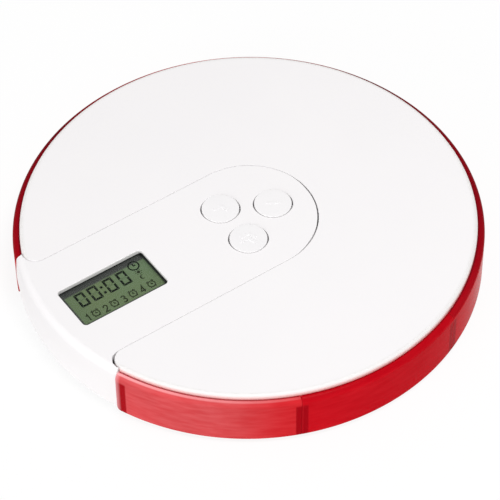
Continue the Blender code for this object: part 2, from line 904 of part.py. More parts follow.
def add_buttons():
    """Caps with a retaining flange, and the switches they press."""
    cap_top = case_height + button_raise
    cap_round = 0.0005
    crown = 0.00015
    flange_reach = 0.0010
    flange_thickness = 0.0008
    flange_top = cover_underside - touch_gap
    flange_bottom = flange_top - flange_thickness
    nub_radius = 0.0020
    nub_height = 0.0004
    nub_bottom = flange_bottom - nub_height
    flange_radius = button_radius + flange_reach
    plunger_radius = 0.0016
    plunger_top = nub_bottom - touch_gap
    switch_half_width = 0.0030
    button_stroke = 0.0006
    stroke_margin = 0.0001
    switch_bottom = board_top + touch_gap
    switch_top = nub_bottom - button_stroke - stroke_margin
    bore_floor = 0.0002
    bore_bottom = switch_bottom + bore_floor
    plunger_bottom = bore_bottom + button_stroke + stroke_margin
    for name, bearing in button_bearings.items():
        x, y = polar(button_ring_radius, bearing)
        profile = [(0, cap_top)]
        profile += fillet(
            (button_radius - cap_round, cap_top - crown - cap_round), cap_round, right_angle, 0, edge_steps
        )
        profile += [
            (button_radius, flange_top),
            (flange_radius, flange_top),
            (flange_radius, flange_bottom),
            (nub_radius, flange_bottom),
            (nub_radius, nub_bottom),
            (0, nub_bottom),
        ]
        turned(f"button_{name}", profile, button_steps, white_plastic, (x, y, 0))

        switch = block(
            f"switch_{name}",
            (-switch_half_width, -switch_half_width, switch_bottom),
            (switch_half_width, switch_half_width, switch_top),
            dark_plastic,
            (x, y, 0),
        )
        bore = rod(
            f"plunger_bore_{name}",
            plunger_radius + touch_gap,
            bore_bottom,
            switch_top + overrun,
            small_steps,
            location=(x, y),
        )
        cut(switch, bore)
        rod(f"plunger_{name}", plunger_radius, plunger_bottom, plunger_top, small_steps, dark_plastic, (x, y))


def add_battery():
    """Coin cell, its two contacts and the bayonet door under it."""
    cell_edge = 0.0003
    cap_inset = 0.0014
    cap_radius = cell_radius - cap_inset
    cap_height = 0.0004
    turned(
        "coin_cell",
        [
            (0, cell_top),
            (cap_radius, cell_top),
            (cap_radius, cell_top - cap_height),
            (cell_radius - cell_edge, cell_top - cap_height),
            (cell_radius, cell_top - cap_height - cell_edge),
            (cell_radius, cell_bottom + cell_edge),
            (cell_radius - cell_edge, cell_bottom),
            (0, cell_bottom),
        ],
        small_steps,
        bright_steel,
    )

    sheet_thickness = 0.0003
    contact_half_width = 0.0020
    foot_top = board_bottom - touch_gap
    foot_low = foot_top - sheet_thickness

    def bent_strip(name, top_line, half_width, location, bearing):
        """A strip of sheet metal: a line in the XZ plane, given a thickness and a width."""
        mesh = bpy.data.meshes.new(name)
        points = [(x, -half_width, z) for x, z in top_line] + [(x, half_width, z) for x, z in top_line]
        count = len(top_line)
        faces = [(step, step + 1, count + step + 1, count + step) for step in range(count - 1)]
        mesh.from_pydata(points, [], faces)
        strip = add_piece(name, mesh, bright_steel, location, bearing)
        thicken = strip.modifiers.new("Sheet", "SOLIDIFY")
        thicken.thickness = sheet_thickness
        thicken.offset = 0
        thicken.use_even_offset = True

    spring_low = cell_top + touch_gap + sheet_thickness / 2
    spring_foot = -0.0095
    spring_bend = -0.0062
    spring_tip = 0.0015
    spring_lift = 0.0003
    bent_strip(
        "cell_spring",
        [
            (spring_foot, foot_low + sheet_thickness / 2),
            (spring_bend, foot_low + sheet_thickness / 2),
            (0, spring_low),
            (spring_tip, spring_low + spring_lift),
        ],
        contact_half_width,
        (0, 0, 0),
        half_sector,
    )
    clip_face = cell_radius + touch_gap + sheet_thickness / 2
    clip_foot_length = 0.0025
    clip_foot = clip_face + clip_foot_length
    clip_bottom = cell_bottom + touch_gap
    bent_strip(
        "cell_clip",
        [
            (clip_face, clip_bottom),
            (clip_face, foot_low + sheet_thickness / 2),
            (clip_foot, foot_low + sheet_thickness / 2),
        ],
        contact_half_width,
        (0, 0, 0),
        0,
    )

    door_face_gap = 0.0001
    door_bottom = foot_stand + door_face_gap
    collar_ledge = 0.0012
    collar_inner = cell_radius - collar_ledge
    plate_top = floor_top
    door = turned(
        "battery_door",
        [
            (0, plate_top),
            (collar_inner, plate_top),
            (collar_inner, lug_top),
            (door_radius, lug_top),
            (door_radius, door_bottom),
            (0, door_bottom),
        ],
        well_steps,
        white_plastic,
    )
    for number in range(lug_count):
        start = lug_bearing(number) - lug_half_angle
        end = lug_bearing(number) + lug_half_angle
        lug = arc(lug_radius, start, end, round_steps) + arc(door_radius - overrun, end, start, round_steps)
        join(door, slab(f"door_lug_{number}", lug, lug_bottom, lug_top))
    slot_half_length = 0.0062
    slot_half_width = 0.0009
    slot_depth = 0.0008
    coin_slot = block(
        "coin_slot",
        (-slot_half_length, -slot_half_width, door_bottom - overrun),
        (slot_half_length, slot_half_width, door_bottom + slot_depth),
    )
    cut(door, coin_slot)


def add_buzzer():
    buzzer_height = 0.0038
    buzzer_bottom = floor_top + touch_gap
    port_radius = 0.0010
    pin_radius = 0.0004
    pin_offset = 0.0038
    buzzer = rod(
        "buzzer",
        buzzer_radius,
        buzzer_bottom,
        buzzer_bottom + buzzer_height,
        small_steps,
        dark_plastic,
        (buzzer_x, 0),
    )
    port = rod(
        "buzzer_port",
        port_radius,
        buzzer_bottom - overrun,
        buzzer_bottom + overrun,
        boss_steps,
        location=(buzzer_x, 0),
    )
    cut(buzzer, port)
    for number, side in enumerate((1, -1)):
        pin = rod(
            f"buzzer_pin_{number}",
            pin_radius,
            buzzer_bottom + overrun,
            board_bottom - touch_gap,
            tiny_steps,
            location=(buzzer_x + side * pin_offset, 0),
        )
        join(buzzer, pin)


def add_feet():
    foot_top = foot_stand + foot_recess - touch_gap
    foot_edge = 0.0003
    for number, (x, y) in enumerate(foot_places, start=1):
        turned(
            f"foot_{number}",
            [
                (0, foot_top),
                (foot_radius, foot_top),
                (foot_radius, foot_edge),
                (foot_radius - foot_edge, 0),
                (0, 0),
            ],
            small_steps,
            grey_rubber,
            (x, y, 0),
        )


def add_screws():
    """Cover screws point up from the underside, and board screws point down into their posts."""
    head_top = head_seat - touch_gap
    head_bottom = head_top - head_height
    head_edge = 0.0004
    tip_length = 0.0008
    profile = [
        (0, screw_tip),
        (shank_radius, screw_tip - tip_length),
        (shank_radius, head_top),
        (head_radius, head_top),
        (head_radius, head_bottom + head_edge),
        (head_radius - head_edge, head_bottom),
        (0, head_bottom),
    ]
    for number, (x, y) in enumerate(lid_screw_places, start=1):
        turned(f"lid_screw_{number}", profile, screw_steps, bright_steel, (x, y, 0))
    for number, (x, y) in enumerate(control_screw_places, start=1):
        turned(f"control_screw_{number}", profile, screw_steps, bright_steel, (x, y, 0))

    board_head_bottom = board_top + touch_gap
    board_head_top = board_head_bottom + board_head_height
    board_tip = board_screw_tip + tip_length
    board_profile = [
        (0, board_head_top),
        (board_head_radius - head_edge, board_head_top),
        (board_head_radius, board_head_top - head_edge),
        (board_head_radius, board_head_bottom),
        (board_shank_radius, board_head_bottom),
        (board_shank_radius, board_tip),
        (0, board_screw_tip),
    ]
    for number, (x, y) in enumerate(board_screw_places, start=1):
        turned(f"board_screw_{number}", board_profile, screw_steps, bright_steel, (x, y, 0))


add_base_shell()
add_drawers()
add_top_cover()
add_control_cover()
add_display()
add_circuit_board()
add_buttons()
add_battery()
add_buzzer()
add_feet()
add_screws()
for piece in part_collection.objects:
    if piece.modifiers:
        finish_piece(piece)
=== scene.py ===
# Looks of a flat round pill box: seven red drawers under a white cover, and a white control
# tongue with a display and three buttons. Metres, +Z up, the tongue points to -X.

import math

import bmesh
import bpy
from mathutils import Matrix, Vector


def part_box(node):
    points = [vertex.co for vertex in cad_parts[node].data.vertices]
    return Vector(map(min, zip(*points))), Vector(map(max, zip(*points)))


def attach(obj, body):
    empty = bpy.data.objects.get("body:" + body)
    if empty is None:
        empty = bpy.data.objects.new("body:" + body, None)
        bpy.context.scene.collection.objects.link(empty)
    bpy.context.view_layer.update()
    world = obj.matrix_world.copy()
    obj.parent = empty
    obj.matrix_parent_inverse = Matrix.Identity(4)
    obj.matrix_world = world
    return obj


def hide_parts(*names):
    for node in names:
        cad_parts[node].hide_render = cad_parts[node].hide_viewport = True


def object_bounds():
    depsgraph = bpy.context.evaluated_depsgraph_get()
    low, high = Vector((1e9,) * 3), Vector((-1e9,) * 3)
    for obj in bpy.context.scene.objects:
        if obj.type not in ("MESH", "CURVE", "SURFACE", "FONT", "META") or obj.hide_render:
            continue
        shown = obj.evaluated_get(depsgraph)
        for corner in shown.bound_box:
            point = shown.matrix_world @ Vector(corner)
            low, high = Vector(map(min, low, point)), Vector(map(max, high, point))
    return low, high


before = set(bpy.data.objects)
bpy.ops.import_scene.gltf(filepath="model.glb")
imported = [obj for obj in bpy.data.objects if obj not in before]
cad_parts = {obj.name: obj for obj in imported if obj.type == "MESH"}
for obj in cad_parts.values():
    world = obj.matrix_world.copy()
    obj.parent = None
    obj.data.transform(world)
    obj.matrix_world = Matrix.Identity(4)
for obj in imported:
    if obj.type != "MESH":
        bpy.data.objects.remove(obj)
cadLow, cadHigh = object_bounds()
print("frame loaded")

rightAngle = math.pi / 2
fullTurn = 2 * math.pi
overcut = 0.001  # how far a cutter reaches past the face that it leaves
squareCorners = ((-1, -1), (1, -1), (1, 1), (-1, 1))

# Sizes that several pieces share
case = {
    "sectors": 8,
    "coverThickness": 0.0021,
    "wall": 0.0012,
    "gap": 0.0003,
    "seam": 0.00035,
    "hubRadius": 0.0238,
    "tongueHalfWidth": 0.0175,
    "mouthRadius": 0.0035,
    "roundSteps": 320,
}
caseRadius = cadHigh.x
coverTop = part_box("top_cover")[1].z
coverUnder = coverTop - case["coverThickness"]
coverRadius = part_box("top_cover")[1].x
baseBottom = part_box("base_shell")[0].z
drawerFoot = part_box("pill_drawer_4")[0].z
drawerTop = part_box("pill_drawer_4")[1].z
windowLow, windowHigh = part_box("lcd_window")
windowMiddle = (windowLow + windowHigh) / 2
halfSector = math.pi / case["sectors"]
mouthY = case["tongueHalfWidth"] + case["seam"] + case["mouthRadius"]
mouthX = -math.sqrt((coverRadius - case["mouthRadius"]) ** 2 - mouthY ** 2)
mouthBearing = math.atan2(mouthY, mouthX)


def polar(radius, bearing, centre=(0, 0)):
    return (centre[0] + radius * math.cos(bearing), centre[1] + radius * math.sin(bearing))


def arcPoints(radius, start, end, steps, centre=(0, 0)):
    return [polar(radius, start + (end - start) * step / steps, centre) for step in range(steps + 1)]


def caseArc(radius, start, end):
    steps = max(2, round(abs(end - start) / fullTurn * case["roundSteps"]))
    return arcPoints(radius, start, end, steps)


def tidyOutline(points):
    # Drops points that lie on the one before, and makes the outline run counterclockwise
    closest = 0.000001
    kept = []
    for point in points:
        if not kept or (Vector(point) - Vector(kept[-1])).length > closest:
            kept.append(point)
    if (Vector(kept[0]) - Vector(kept[-1])).length <= closest:
        kept.pop()
    doubleArea = 0
    for index, (x, y) in enumerate(kept):
        beforeX, beforeY = kept[index - 1]
        doubleArea += beforeX * y - x * beforeY
    return kept if doubleArea > 0 else kept[::-1]


def roundedOutline(points, radius, steps):
    # Each sharp corner becomes an arc, no larger than its sides allow
    sharpTurn = math.radians(30)
    sideShare = 0.45
    rounded = []
    for index, point in enumerate(points):
        here = Vector(point)
        before = Vector(points[index - 1]) - here
        after = Vector(points[(index + 1) % len(points)]) - here
        turn = math.pi - before.angle(after)
        if turn < sharpTurn:
            rounded.append(point)
            continue
        reach = min(radius * math.tan(turn / 2), sideShare * before.length, sideShare * after.length)
        ownRadius = reach / math.tan(turn / 2)
        middle = (before.normalized() + after.normalized()).normalized()
        centre = here + middle * ownRadius / math.cos(turn / 2)
        spoke = here + before.normalized() * reach - centre
        side = before.x * after.y - before.y * after.x
        for step in range(steps + 1):
            angle = turn * step / steps * (1 if side < 0 else -1)
            rounded.append(tuple(centre + Matrix.Rotation(angle, 2) @ spoke))
    return rounded


def mitres(outline):
    # The move that takes both sides of each corner outwards by one
    moves = []
    for index, point in enumerate(outline):
        before = Vector(point) - Vector(outline[index - 1])
        after = Vector(outline[(index + 1) % len(outline)]) - Vector(point)
        both = Vector((before.y, -before.x)).normalized() + Vector((after.y, -after.x)).normalized()
        moves.append(both * 2 / both.length_squared)
    return moves


def plateLevels(low, high, lowRound, highRound, steps=6):
    # Levels of a plate from its lower face up: (inset, face height, rise from that face)
    levels = []
    for step in range(steps + 1 if lowRound else 1):
        angle = rightAngle * step / steps
        levels.append((lowRound * (1 - math.sin(angle)), low, lowRound * (1 - math.cos(angle))))
    for step in range(0 if highRound else steps, steps + 1):
        angle = rightAngle * step / steps
        levels.append((highRound * (1 - math.cos(angle)), high, -highRound * (1 - math.sin(angle))))
    return levels


def flareLevels(low, face, flare, steps=5):
    # Levels of a cutter that opens in a quarter round where it leaves the face
    clear = 0.00001
    levels = [(0, low, 0)]
    for step in range(steps + 1):
        angle = rightAngle * step / steps
        levels.append((-flare * (1 - math.cos(angle)), face + clear, -flare * (1 - math.sin(angle))))
    levels.append((-flare, face + overcut, 0))
    return levels


def loftedForm(outline, levels, shares=None):
    # Stacks the outline through its levels. Shares scale the rounding from point to point
    form = bmesh.new()
    moves = mitres(outline)
    shares = shares or [1] * len(outline)
    rings = []
    for inset, face, rise in levels:
        ring = []
        for point, move, share in zip(outline, moves, shares):
            place = Vector(point) - move * inset * share
            ring.append(form.verts.new((place.x, place.y, face + rise * share)))
        rings.append(ring)
    for lower, upper in zip(rings, rings[1:]):
        for index in range(len(outline)):
            form.faces.new((lower[index - 1], lower[index], upper[index], upper[index - 1]))
    form.faces.new(rings[0][::-1])
    form.faces.new(rings[-1])
    return form


def turnedForm(profile, steps, capped=False):
    # Turns (radius, height) points, which run down the outer side, about the upright axis
    form = bmesh.new()
    rings = []
    for radius, height in profile:
        bearings = [fullTurn * step / steps for step in range(steps if radius else 1)]
        rings.append([form.verts.new((*polar(radius, bearing), height)) for bearing in bearings])
    pairs = list(zip(rings, rings[1:]))
    if profile[0][0] and not capped:
        pairs.append((rings[-1], rings[0]))
    for upper, lower in pairs:
        for step in range(steps):
            corners = [upper[(step - 1) % len(upper)], lower[(step - 1) % len(lower)]]
            corners += [lower[step % len(lower)], upper[step % len(upper)]]
            corners = list(dict.fromkeys(corners))
            if len(corners) > 2:
                form.faces.new(corners)
    if capped:
        form.faces.new(rings[0])
        form.faces.new(rings[-1][::-1])
    return form


def sectorForm(profile, start, end):
    # Turns a closed profile of (radius, height) points from one bearing to another
    form = bmesh.new()
    steps = round((end - start) / fullTurn * case["roundSteps"])
    slices = []
    for step in range(steps + 1):
        bearing = start + (end - start) * step / steps
        slices.append([form.verts.new((*polar(radius, bearing), height)) for radius, height in profile])
    for first, second in zip(slices, slices[1:]):
        for index in range(len(profile)):
            form.faces.new((first[index - 1], first[index], second[index], second[index - 1]))
    form.faces.new(slices[0])
    form.faces.new(slices[-1][::-1])
    return form


def boxForm(low, high):
    form = bmesh.new()
    bmesh.ops.create_cube(form, size=1)
    size = Vector(high) - Vector(low)
    bmesh.ops.scale(form, vec=size, verts=form.verts)
    bmesh.ops.translate(form, vec=Vector(low) + size / 2, verts=form.verts)
    return form


def movedForm(form, offset=(0, 0, 0), turn=0):
    move = Matrix.Translation(offset) @ Matrix.Rotation(turn, 4, "Z")
    bmesh.ops.transform(form, matrix=move, verts=form.verts)
    return form


def meshOf(name, *forms):
    # One mesh from several closed forms, each with its faces turned out
    mesh = bpy.data.meshes.new(name)
    whole = bmesh.new()
    for form in forms:
        bmesh.ops.recalc_face_normals(form, faces=form.faces)
        form.to_mesh(mesh)
        form.free()
        whole.from_mesh(mesh)
    whole.to_mesh(mesh)
    whole.free()
    return mesh


def newPiece(name, *forms):
    piece = bpy.data.objects.new(name, meshOf(name, *forms))
    bpy.context.scene.collection.objects.link(piece)
    return piece


def applyModifiers(piece):
    bpy.context.view_layer.update()
    evaluated = piece.evaluated_get(bpy.context.evaluated_depsgraph_get())
    mesh = bpy.data.meshes.new_from_object(evaluated)
    piece.modifiers.clear()
    piece.data = mesh


def shapeWith(piece, operation, *forms):
    for form in forms:
        tool = newPiece("tool", form)
        change = piece.modifiers.new("shape", "BOOLEAN")
        change.operation = operation
        change.solver = "EXACT"
        change.object = tool
        applyModifiers(piece)
        bpy.data.objects.remove(tool, do_unlink=True)


def cutFrom(piece, *forms):
    shapeWith(piece, "DIFFERENCE", *forms)


def joinTo(piece, *forms):
    shapeWith(piece, "UNION", *forms)


def softenEdges(piece, width):
    bevel = piece.modifiers.new("soften", "BEVEL")
    bevel.width = width
    bevel.segments = 3
    bevel.limit_method = "ANGLE"
    bevel.angle_limit = math.radians(50)
    bevel.use_clamp_overlap = False
    applyModifiers(piece)


def partLevelFaces(mesh):
    # Level faces are shaded apart from the rounds beside them
    leastLevel = 0.99999
    sides = {}
    for face in mesh.polygons:
        level = abs(face.normal.z) > leastLevel
        for edge in face.edge_keys:
            sides.setdefault(edge, set()).add(level)
    for edge in mesh.edges:
        if len(sides.get(edge.key, ())) > 1:
            edge.use_edge_sharp = True


def finishPiece(piece, material, slot, body, *replaced):
    # Shading, material, and what the piece rides on and stands for
    piece.data.shade_smooth()
    piece.data.set_sharp_from_angle(angle=math.radians(40))
    partLevelFaces(piece.data)
    normals = piece.modifiers.new("even shading", "WEIGHTED_NORMAL")
    normals.keep_sharp = True
    piece.data.materials.clear()
    piece.data.materials.append(material)
    if replaced:
        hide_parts(*replaced)
    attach(piece, body)


def newMaterial(name):
    material = bpy.data.materials.new(name)
    material.use_nodes = True
    tree = material.node_tree
    return material, tree, tree.nodes["Principled BSDF"]


def addNode(tree, kind, **settings):
    node = tree.nodes.new(kind)
    for key, value in settings.items():
        setattr(node, key, value)
    return node


def objectPlace(tree, stretch=(1, 1, 1)):
    place = addNode(tree, "ShaderNodeTexCoord")
    scaled = addNode(tree, "ShaderNodeMapping")
    scaled.inputs["Scale"].default_value = stretch
    tree.links.new(place.outputs["Object"], scaled.inputs["Vector"])
    return scaled.outputs["Vector"]


def noiseOf(tree, place, scale, detail=3):
    texture = addNode(tree, "ShaderNodeTexNoise")
    texture.inputs["Scale"].default_value = scale
    texture.inputs["Detail"].default_value = detail
    tree.links.new(place, texture.inputs["Vector"])
    return texture.outputs["Fac"]


def ranged(tree, value, fromRange, toRange, smooth=False):
    node = addNode(tree, "ShaderNodeMapRange")
    node.interpolation_type = "SMOOTHSTEP" if smooth else "LINEAR"
    node.inputs["From Min"].default_value, node.inputs["From Max"].default_value = fromRange
    node.inputs["To Min"].default_value, node.inputs["To Max"].default_value = toRange
    tree.links.new(value, node.inputs["Value"])
    return node.outputs["Result"]


def arithmetic(tree, operation, first, second):
    node = addNode(tree, "ShaderNodeMath", operation=operation)
    for socket, value in zip(node.inputs, (first, second)):
        if isinstance(value, (int, float)):
            socket.default_value = value
        else:
            tree.links.new(value, socket)
    return node.outputs[0]


def product(tree, first, second):
    return arithmetic(tree, "MULTIPLY", first, second)


def blended(tree, share, first, second):
    node = addNode(tree, "ShaderNodeMix", data_type="RGBA")
    tree.links.new(share, node.inputs["Factor"])
    for socket, colour in ((node.inputs[6], first), (node.inputs[7], second)):
        if isinstance(colour, tuple):
            socket.default_value = (*colour, 1)
        else:
            tree.links.new(colour, socket)
    return node.outputs[2]


def bumped(tree, shader, height, depth):
    bump = addNode(tree, "ShaderNodeBump")
    bump.inputs["Distance"].default_value = depth
    tree.links.new(height, bump.inputs["Height"])
    tree.links.new(bump.outputs["Normal"], shader.inputs["Normal"])


def measures(tree):
    # Where a point lies on its piece: coordinates, radius and bearing round the upright axis
    axes = addNode(tree, "ShaderNodeSeparateXYZ")
    tree.links.new(objectPlace(tree), axes.inputs[0])
    level = addNode(tree, "ShaderNodeVectorMath", operation="LENGTH")
    tree.links.new(objectPlace(tree, (1, 1, 0)), level.inputs[0])
    places = {axis: axes.outputs[axis] for axis in "XYZ"}
    places["radius"] = level.outputs["Value"]
    places["bearing"] = arithmetic(tree, "ARCTAN2", places["Y"], places["X"])
    return places


# Camera, from the outline of the case in the photograph
cameraFit = {
    "azimuth": math.radians(-34.321),
    "elevation": math.radians(48.441),
    "roll": math.radians(-0.799),
    "distance": 0.67389,
    "target": (-0.00209, -0.003543, 0.00766),
    "lens": 190.29,
    "filmWidth": 36,
}


def addCamera():
    azimuth, elevation, roll = (cameraFit[key] for key in ("azimuth", "elevation", "roll"))
    level = math.cos(elevation)
    back = Vector((math.sin(azimuth) * level, -math.cos(azimuth) * level, math.sin(elevation)))
    right = Vector((math.cos(azimuth), math.sin(azimuth), 0))
    up = back.cross(right)
    rolledRight = right * math.cos(roll) + up * math.sin(roll)
    rolledUp = up * math.cos(roll) - right * math.sin(roll)
    lens = bpy.data.cameras.new("camera")
    lens.lens = cameraFit["lens"]
    lens.sensor_width = cameraFit["filmWidth"]
    camera = bpy.data.objects.new("camera", lens)
    turn = Matrix((rolledRight, rolledUp, back)).transposed().to_4x4()
    place = Vector(cameraFit["target"]) + back * cameraFit["distance"]
    camera.matrix_world = Matrix.Translation(place) @ turn
    bpy.context.scene.collection.objects.link(camera)
    bpy.context.scene.camera = camera


# Studio light: a high key lamp at the front on the right, and a low wide lamp for the walls
lamps = {
    "keyLamp": {"bearing": -80, "elevation": 73, "distance": 0.8, "width": 0.27, "power": 3.5},
    "frontLamp": {"bearing": -165, "elevation": 14, "distance": 1.4, "width": 0.70, "power": 6.8},
}
room = {"light": 0.45, "seen": 1.0, "warmth": (1.0, 0.995, 0.99)}


def seenDirectly(tree):
    # 1 for what the camera, a mirror or clear glass shows, 0 for light that falls on things
    path = addNode(tree, "ShaderNodeLightPath")
    mirrored = arithmetic(tree, "MAXIMUM", path.outputs["Is Camera Ray"], path.outputs["Is Glossy Ray"])
    return arithmetic(tree, "MAXIMUM", mirrored, path.outputs["Is Transmission Ray"])


def litOrSeen(tree, share, lit, seen, output):
    # One shader for the light that falls on it, and by that share another for what is seen
    either = addNode(tree, "ShaderNodeMixShader")
    for socket, source in zip(either.inputs, (share, lit.outputs[0], seen.outputs[0])):
        tree.links.new(source, socket)
    tree.links.new(either.outputs[0], tree.nodes[output].inputs["Surface"])


def addLight():
    for name, lamp in lamps.items():
        light = bpy.data.lights.new(name, "AREA")
        light.shape = "DISK"
        light.size = lamp["width"]
        light.energy = lamp["power"]
        holder = bpy.data.objects.new(name, light)
        elevation = math.radians(lamp["elevation"])
        x, y = polar(lamp["distance"] * math.cos(elevation), math.radians(lamp["bearing"]))
        place = Vector((x, y, lamp["distance"] * math.sin(elevation)))
        holder.location = place
        holder.rotation_euler = place.to_track_quat("Z", "Y").to_euler()
        bpy.context.scene.collection.objects.link(holder)

    world = bpy.data.worlds.new("room")
    world.use_nodes = True
    bpy.context.scene.world = world
    tree = world.node_tree
    lit = tree.nodes["Background"]
    lit.inputs["Color"].default_value = (*room["warmth"], 1)
    lit.inputs["Strength"].default_value = room["light"]
    seen = addNode(tree, "ShaderNodeBackground")
    seen.inputs["Color"].default_value = (1, 1, 1, 1)
    seen.inputs["Strength"].default_value = room["seen"]
    litOrSeen(tree, seenDirectly(tree), lit, seen, "World Output")


# The pale floor keeps the soft shadow of the case
floor = {"radius": 4.0, "colour": (0.96, 0.96, 0.96), "whiteShare": 0.90, "steps": 96}


def addFloor():
    form = bmesh.new()
    bmesh.ops.create_circle(form, cap_ends=True, segments=floor["steps"], radius=floor["radius"])
    piece = newPiece("floor", form)
    material, tree = newMaterial("paleFloor")[:2]
    plain = addNode(tree, "ShaderNodeBsdfDiffuse")
    plain.inputs["Color"].default_value = (*floor["colour"], 1)
    white = addNode(tree, "ShaderNodeEmission")
    share = product(tree, seenDirectly(tree), floor["whiteShare"])
    litOrSeen(tree, share, plain, white, "Material Output")
    piece.data.materials.append(material)


addCamera()
addLight()
addFloor()
bpy.context.scene.view_settings.view_transform = "Standard"
print("camera, light and floor placed")


noiseMiddle = (0.35, 0.65)
wornEdges = (0.52, 0.62)


def paintLight(tree, colour, paintedPatch):
    # Painted light and shade: a second colour where each measure of the place has passed from its first
    # limit to its last
    places = measures(tree)
    share = None
    for measure, first, last in paintedPatch["limits"]:
        inside = ranged(tree, places[measure], (first, last), (0, 1))
        share = product(tree, share, inside) if share else inside
    return blended(tree, share, colour, paintedPatch["colour"])


def mouldedPlastic(name, finish):
    # Moulded plastic: a slow drift of colour, paler worn edges, a fine spark-eroded grain
    material, tree, shader = newMaterial(name)
    place = objectPlace(tree)
    drift = ranged(tree, noiseOf(tree, place, finish["driftScale"]), noiseMiddle, (0, 1))
    colour = blended(tree, drift, finish["colour"], finish["shade"])
    if "wear" in finish:
        edge = addNode(tree, "ShaderNodeNewGeometry").outputs["Pointiness"]
        worn = ranged(tree, edge, wornEdges, (0, finish["wear"]))
        colour = blended(tree, worn, colour, finish["wornColour"])
    # Painted shade and painted reflected light, where the finish lists them
    for paintedPatch in finish.get("paintedLights", ()):
        colour = paintLight(tree, colour, paintedPatch)
    tree.links.new(colour, shader.inputs["Base Color"])
    patches = noiseOf(tree, place, finish["patchScale"])
    roughness = ranged(tree, patches, noiseMiddle, finish["roughness"])
    tree.links.new(roughness, shader.inputs["Roughness"])
    shader.inputs["Specular IOR Level"].default_value = finish["shine"]
    grain = noiseOf(tree, place, finish["grainScale"], detail=2)
    bumped(tree, shader, grain, finish["grainDepth"])
    return material


whiteFinish = {
    "colour": (0.886, 0.868, 0.876),
    "shade": (0.878, 0.861, 0.870),
    "driftScale": 45,
    "patchScale": 160,
    "roughness": (0.48, 0.54),
    "shine": 0.28,
    "grainScale": 5200,
    "grainDepth": 0.000004,
}
caseWhite = mouldedPlastic("caseWhite", whiteFinish)

# Painted shade greys the cover's rim, and a painted pink reflection of the red drawers lies at its foot
coverWhite = mouldedPlastic("coverWhite", {
    **whiteFinish,
    "paintedLights": (
        {"colour": (0.83, 0.815, 0.81), "limits": (("radius", 0.0568, 0.0574), ("Z", 0.01620, 0.01590))},
        {"colour": (0.98, 0.66, 0.64), "limits": (("radius", 0.0570, 0.0577), ("Z", 0.0157, 0.0149))},
    ),
})

# Painted shade darkens the wall at the window's inner end
tongueWhite = mouldedPlastic("tongueWhite", {
    **whiteFinish,
    "paintedLights": ({
        "colour": (0.03, 0.03, 0.03),
        "limits": (
            ("X", windowMiddle.x + 0.0116, windowMiddle.x + 0.0121),
            ("X", windowMiddle.x + 0.0127, windowMiddle.x + 0.0126),
            ("Z", coverTop - 0.0006, coverTop - 0.0008),
        ),
    },),
})
buttonWhite = mouldedPlastic("buttonWhite", {
    "colour": (0.880, 0.866, 0.872),
    "shade": (0.862, 0.850, 0.860),
    "driftScale": 120,
    "patchScale": 300,
    "roughness": (0.42, 0.48),
    "shine": 0.30,
    "grainScale": 6400,
    "grainDepth": 0.000003,
})
blackPlastic = mouldedPlastic("blackPlastic", {
    "colour": (0.018, 0.018, 0.020),
    "shade": (0.026, 0.026, 0.028),
    "wornColour": (0.07, 0.07, 0.07),
    "wear": 0.6,
    "driftScale": 300,
    "patchScale": 500,
    "roughness": (0.40, 0.55),
    "shine": 0.45,
    "grainScale": 4200,
    "grainDepth": 0.000008,
})
footRubber = mouldedPlastic("footRubber", {
    "colour": (0.060, 0.061, 0.064),
    "shade": (0.085, 0.086, 0.090),
    "wornColour": (0.16, 0.16, 0.16),
    "wear": 0.7,
    "driftScale": 420,
    "patchScale": 700,
    "roughness": (0.72, 0.88),
    "shine": 0.30,
    "grainScale": 3000,
    "grainDepth": 0.00003,
})


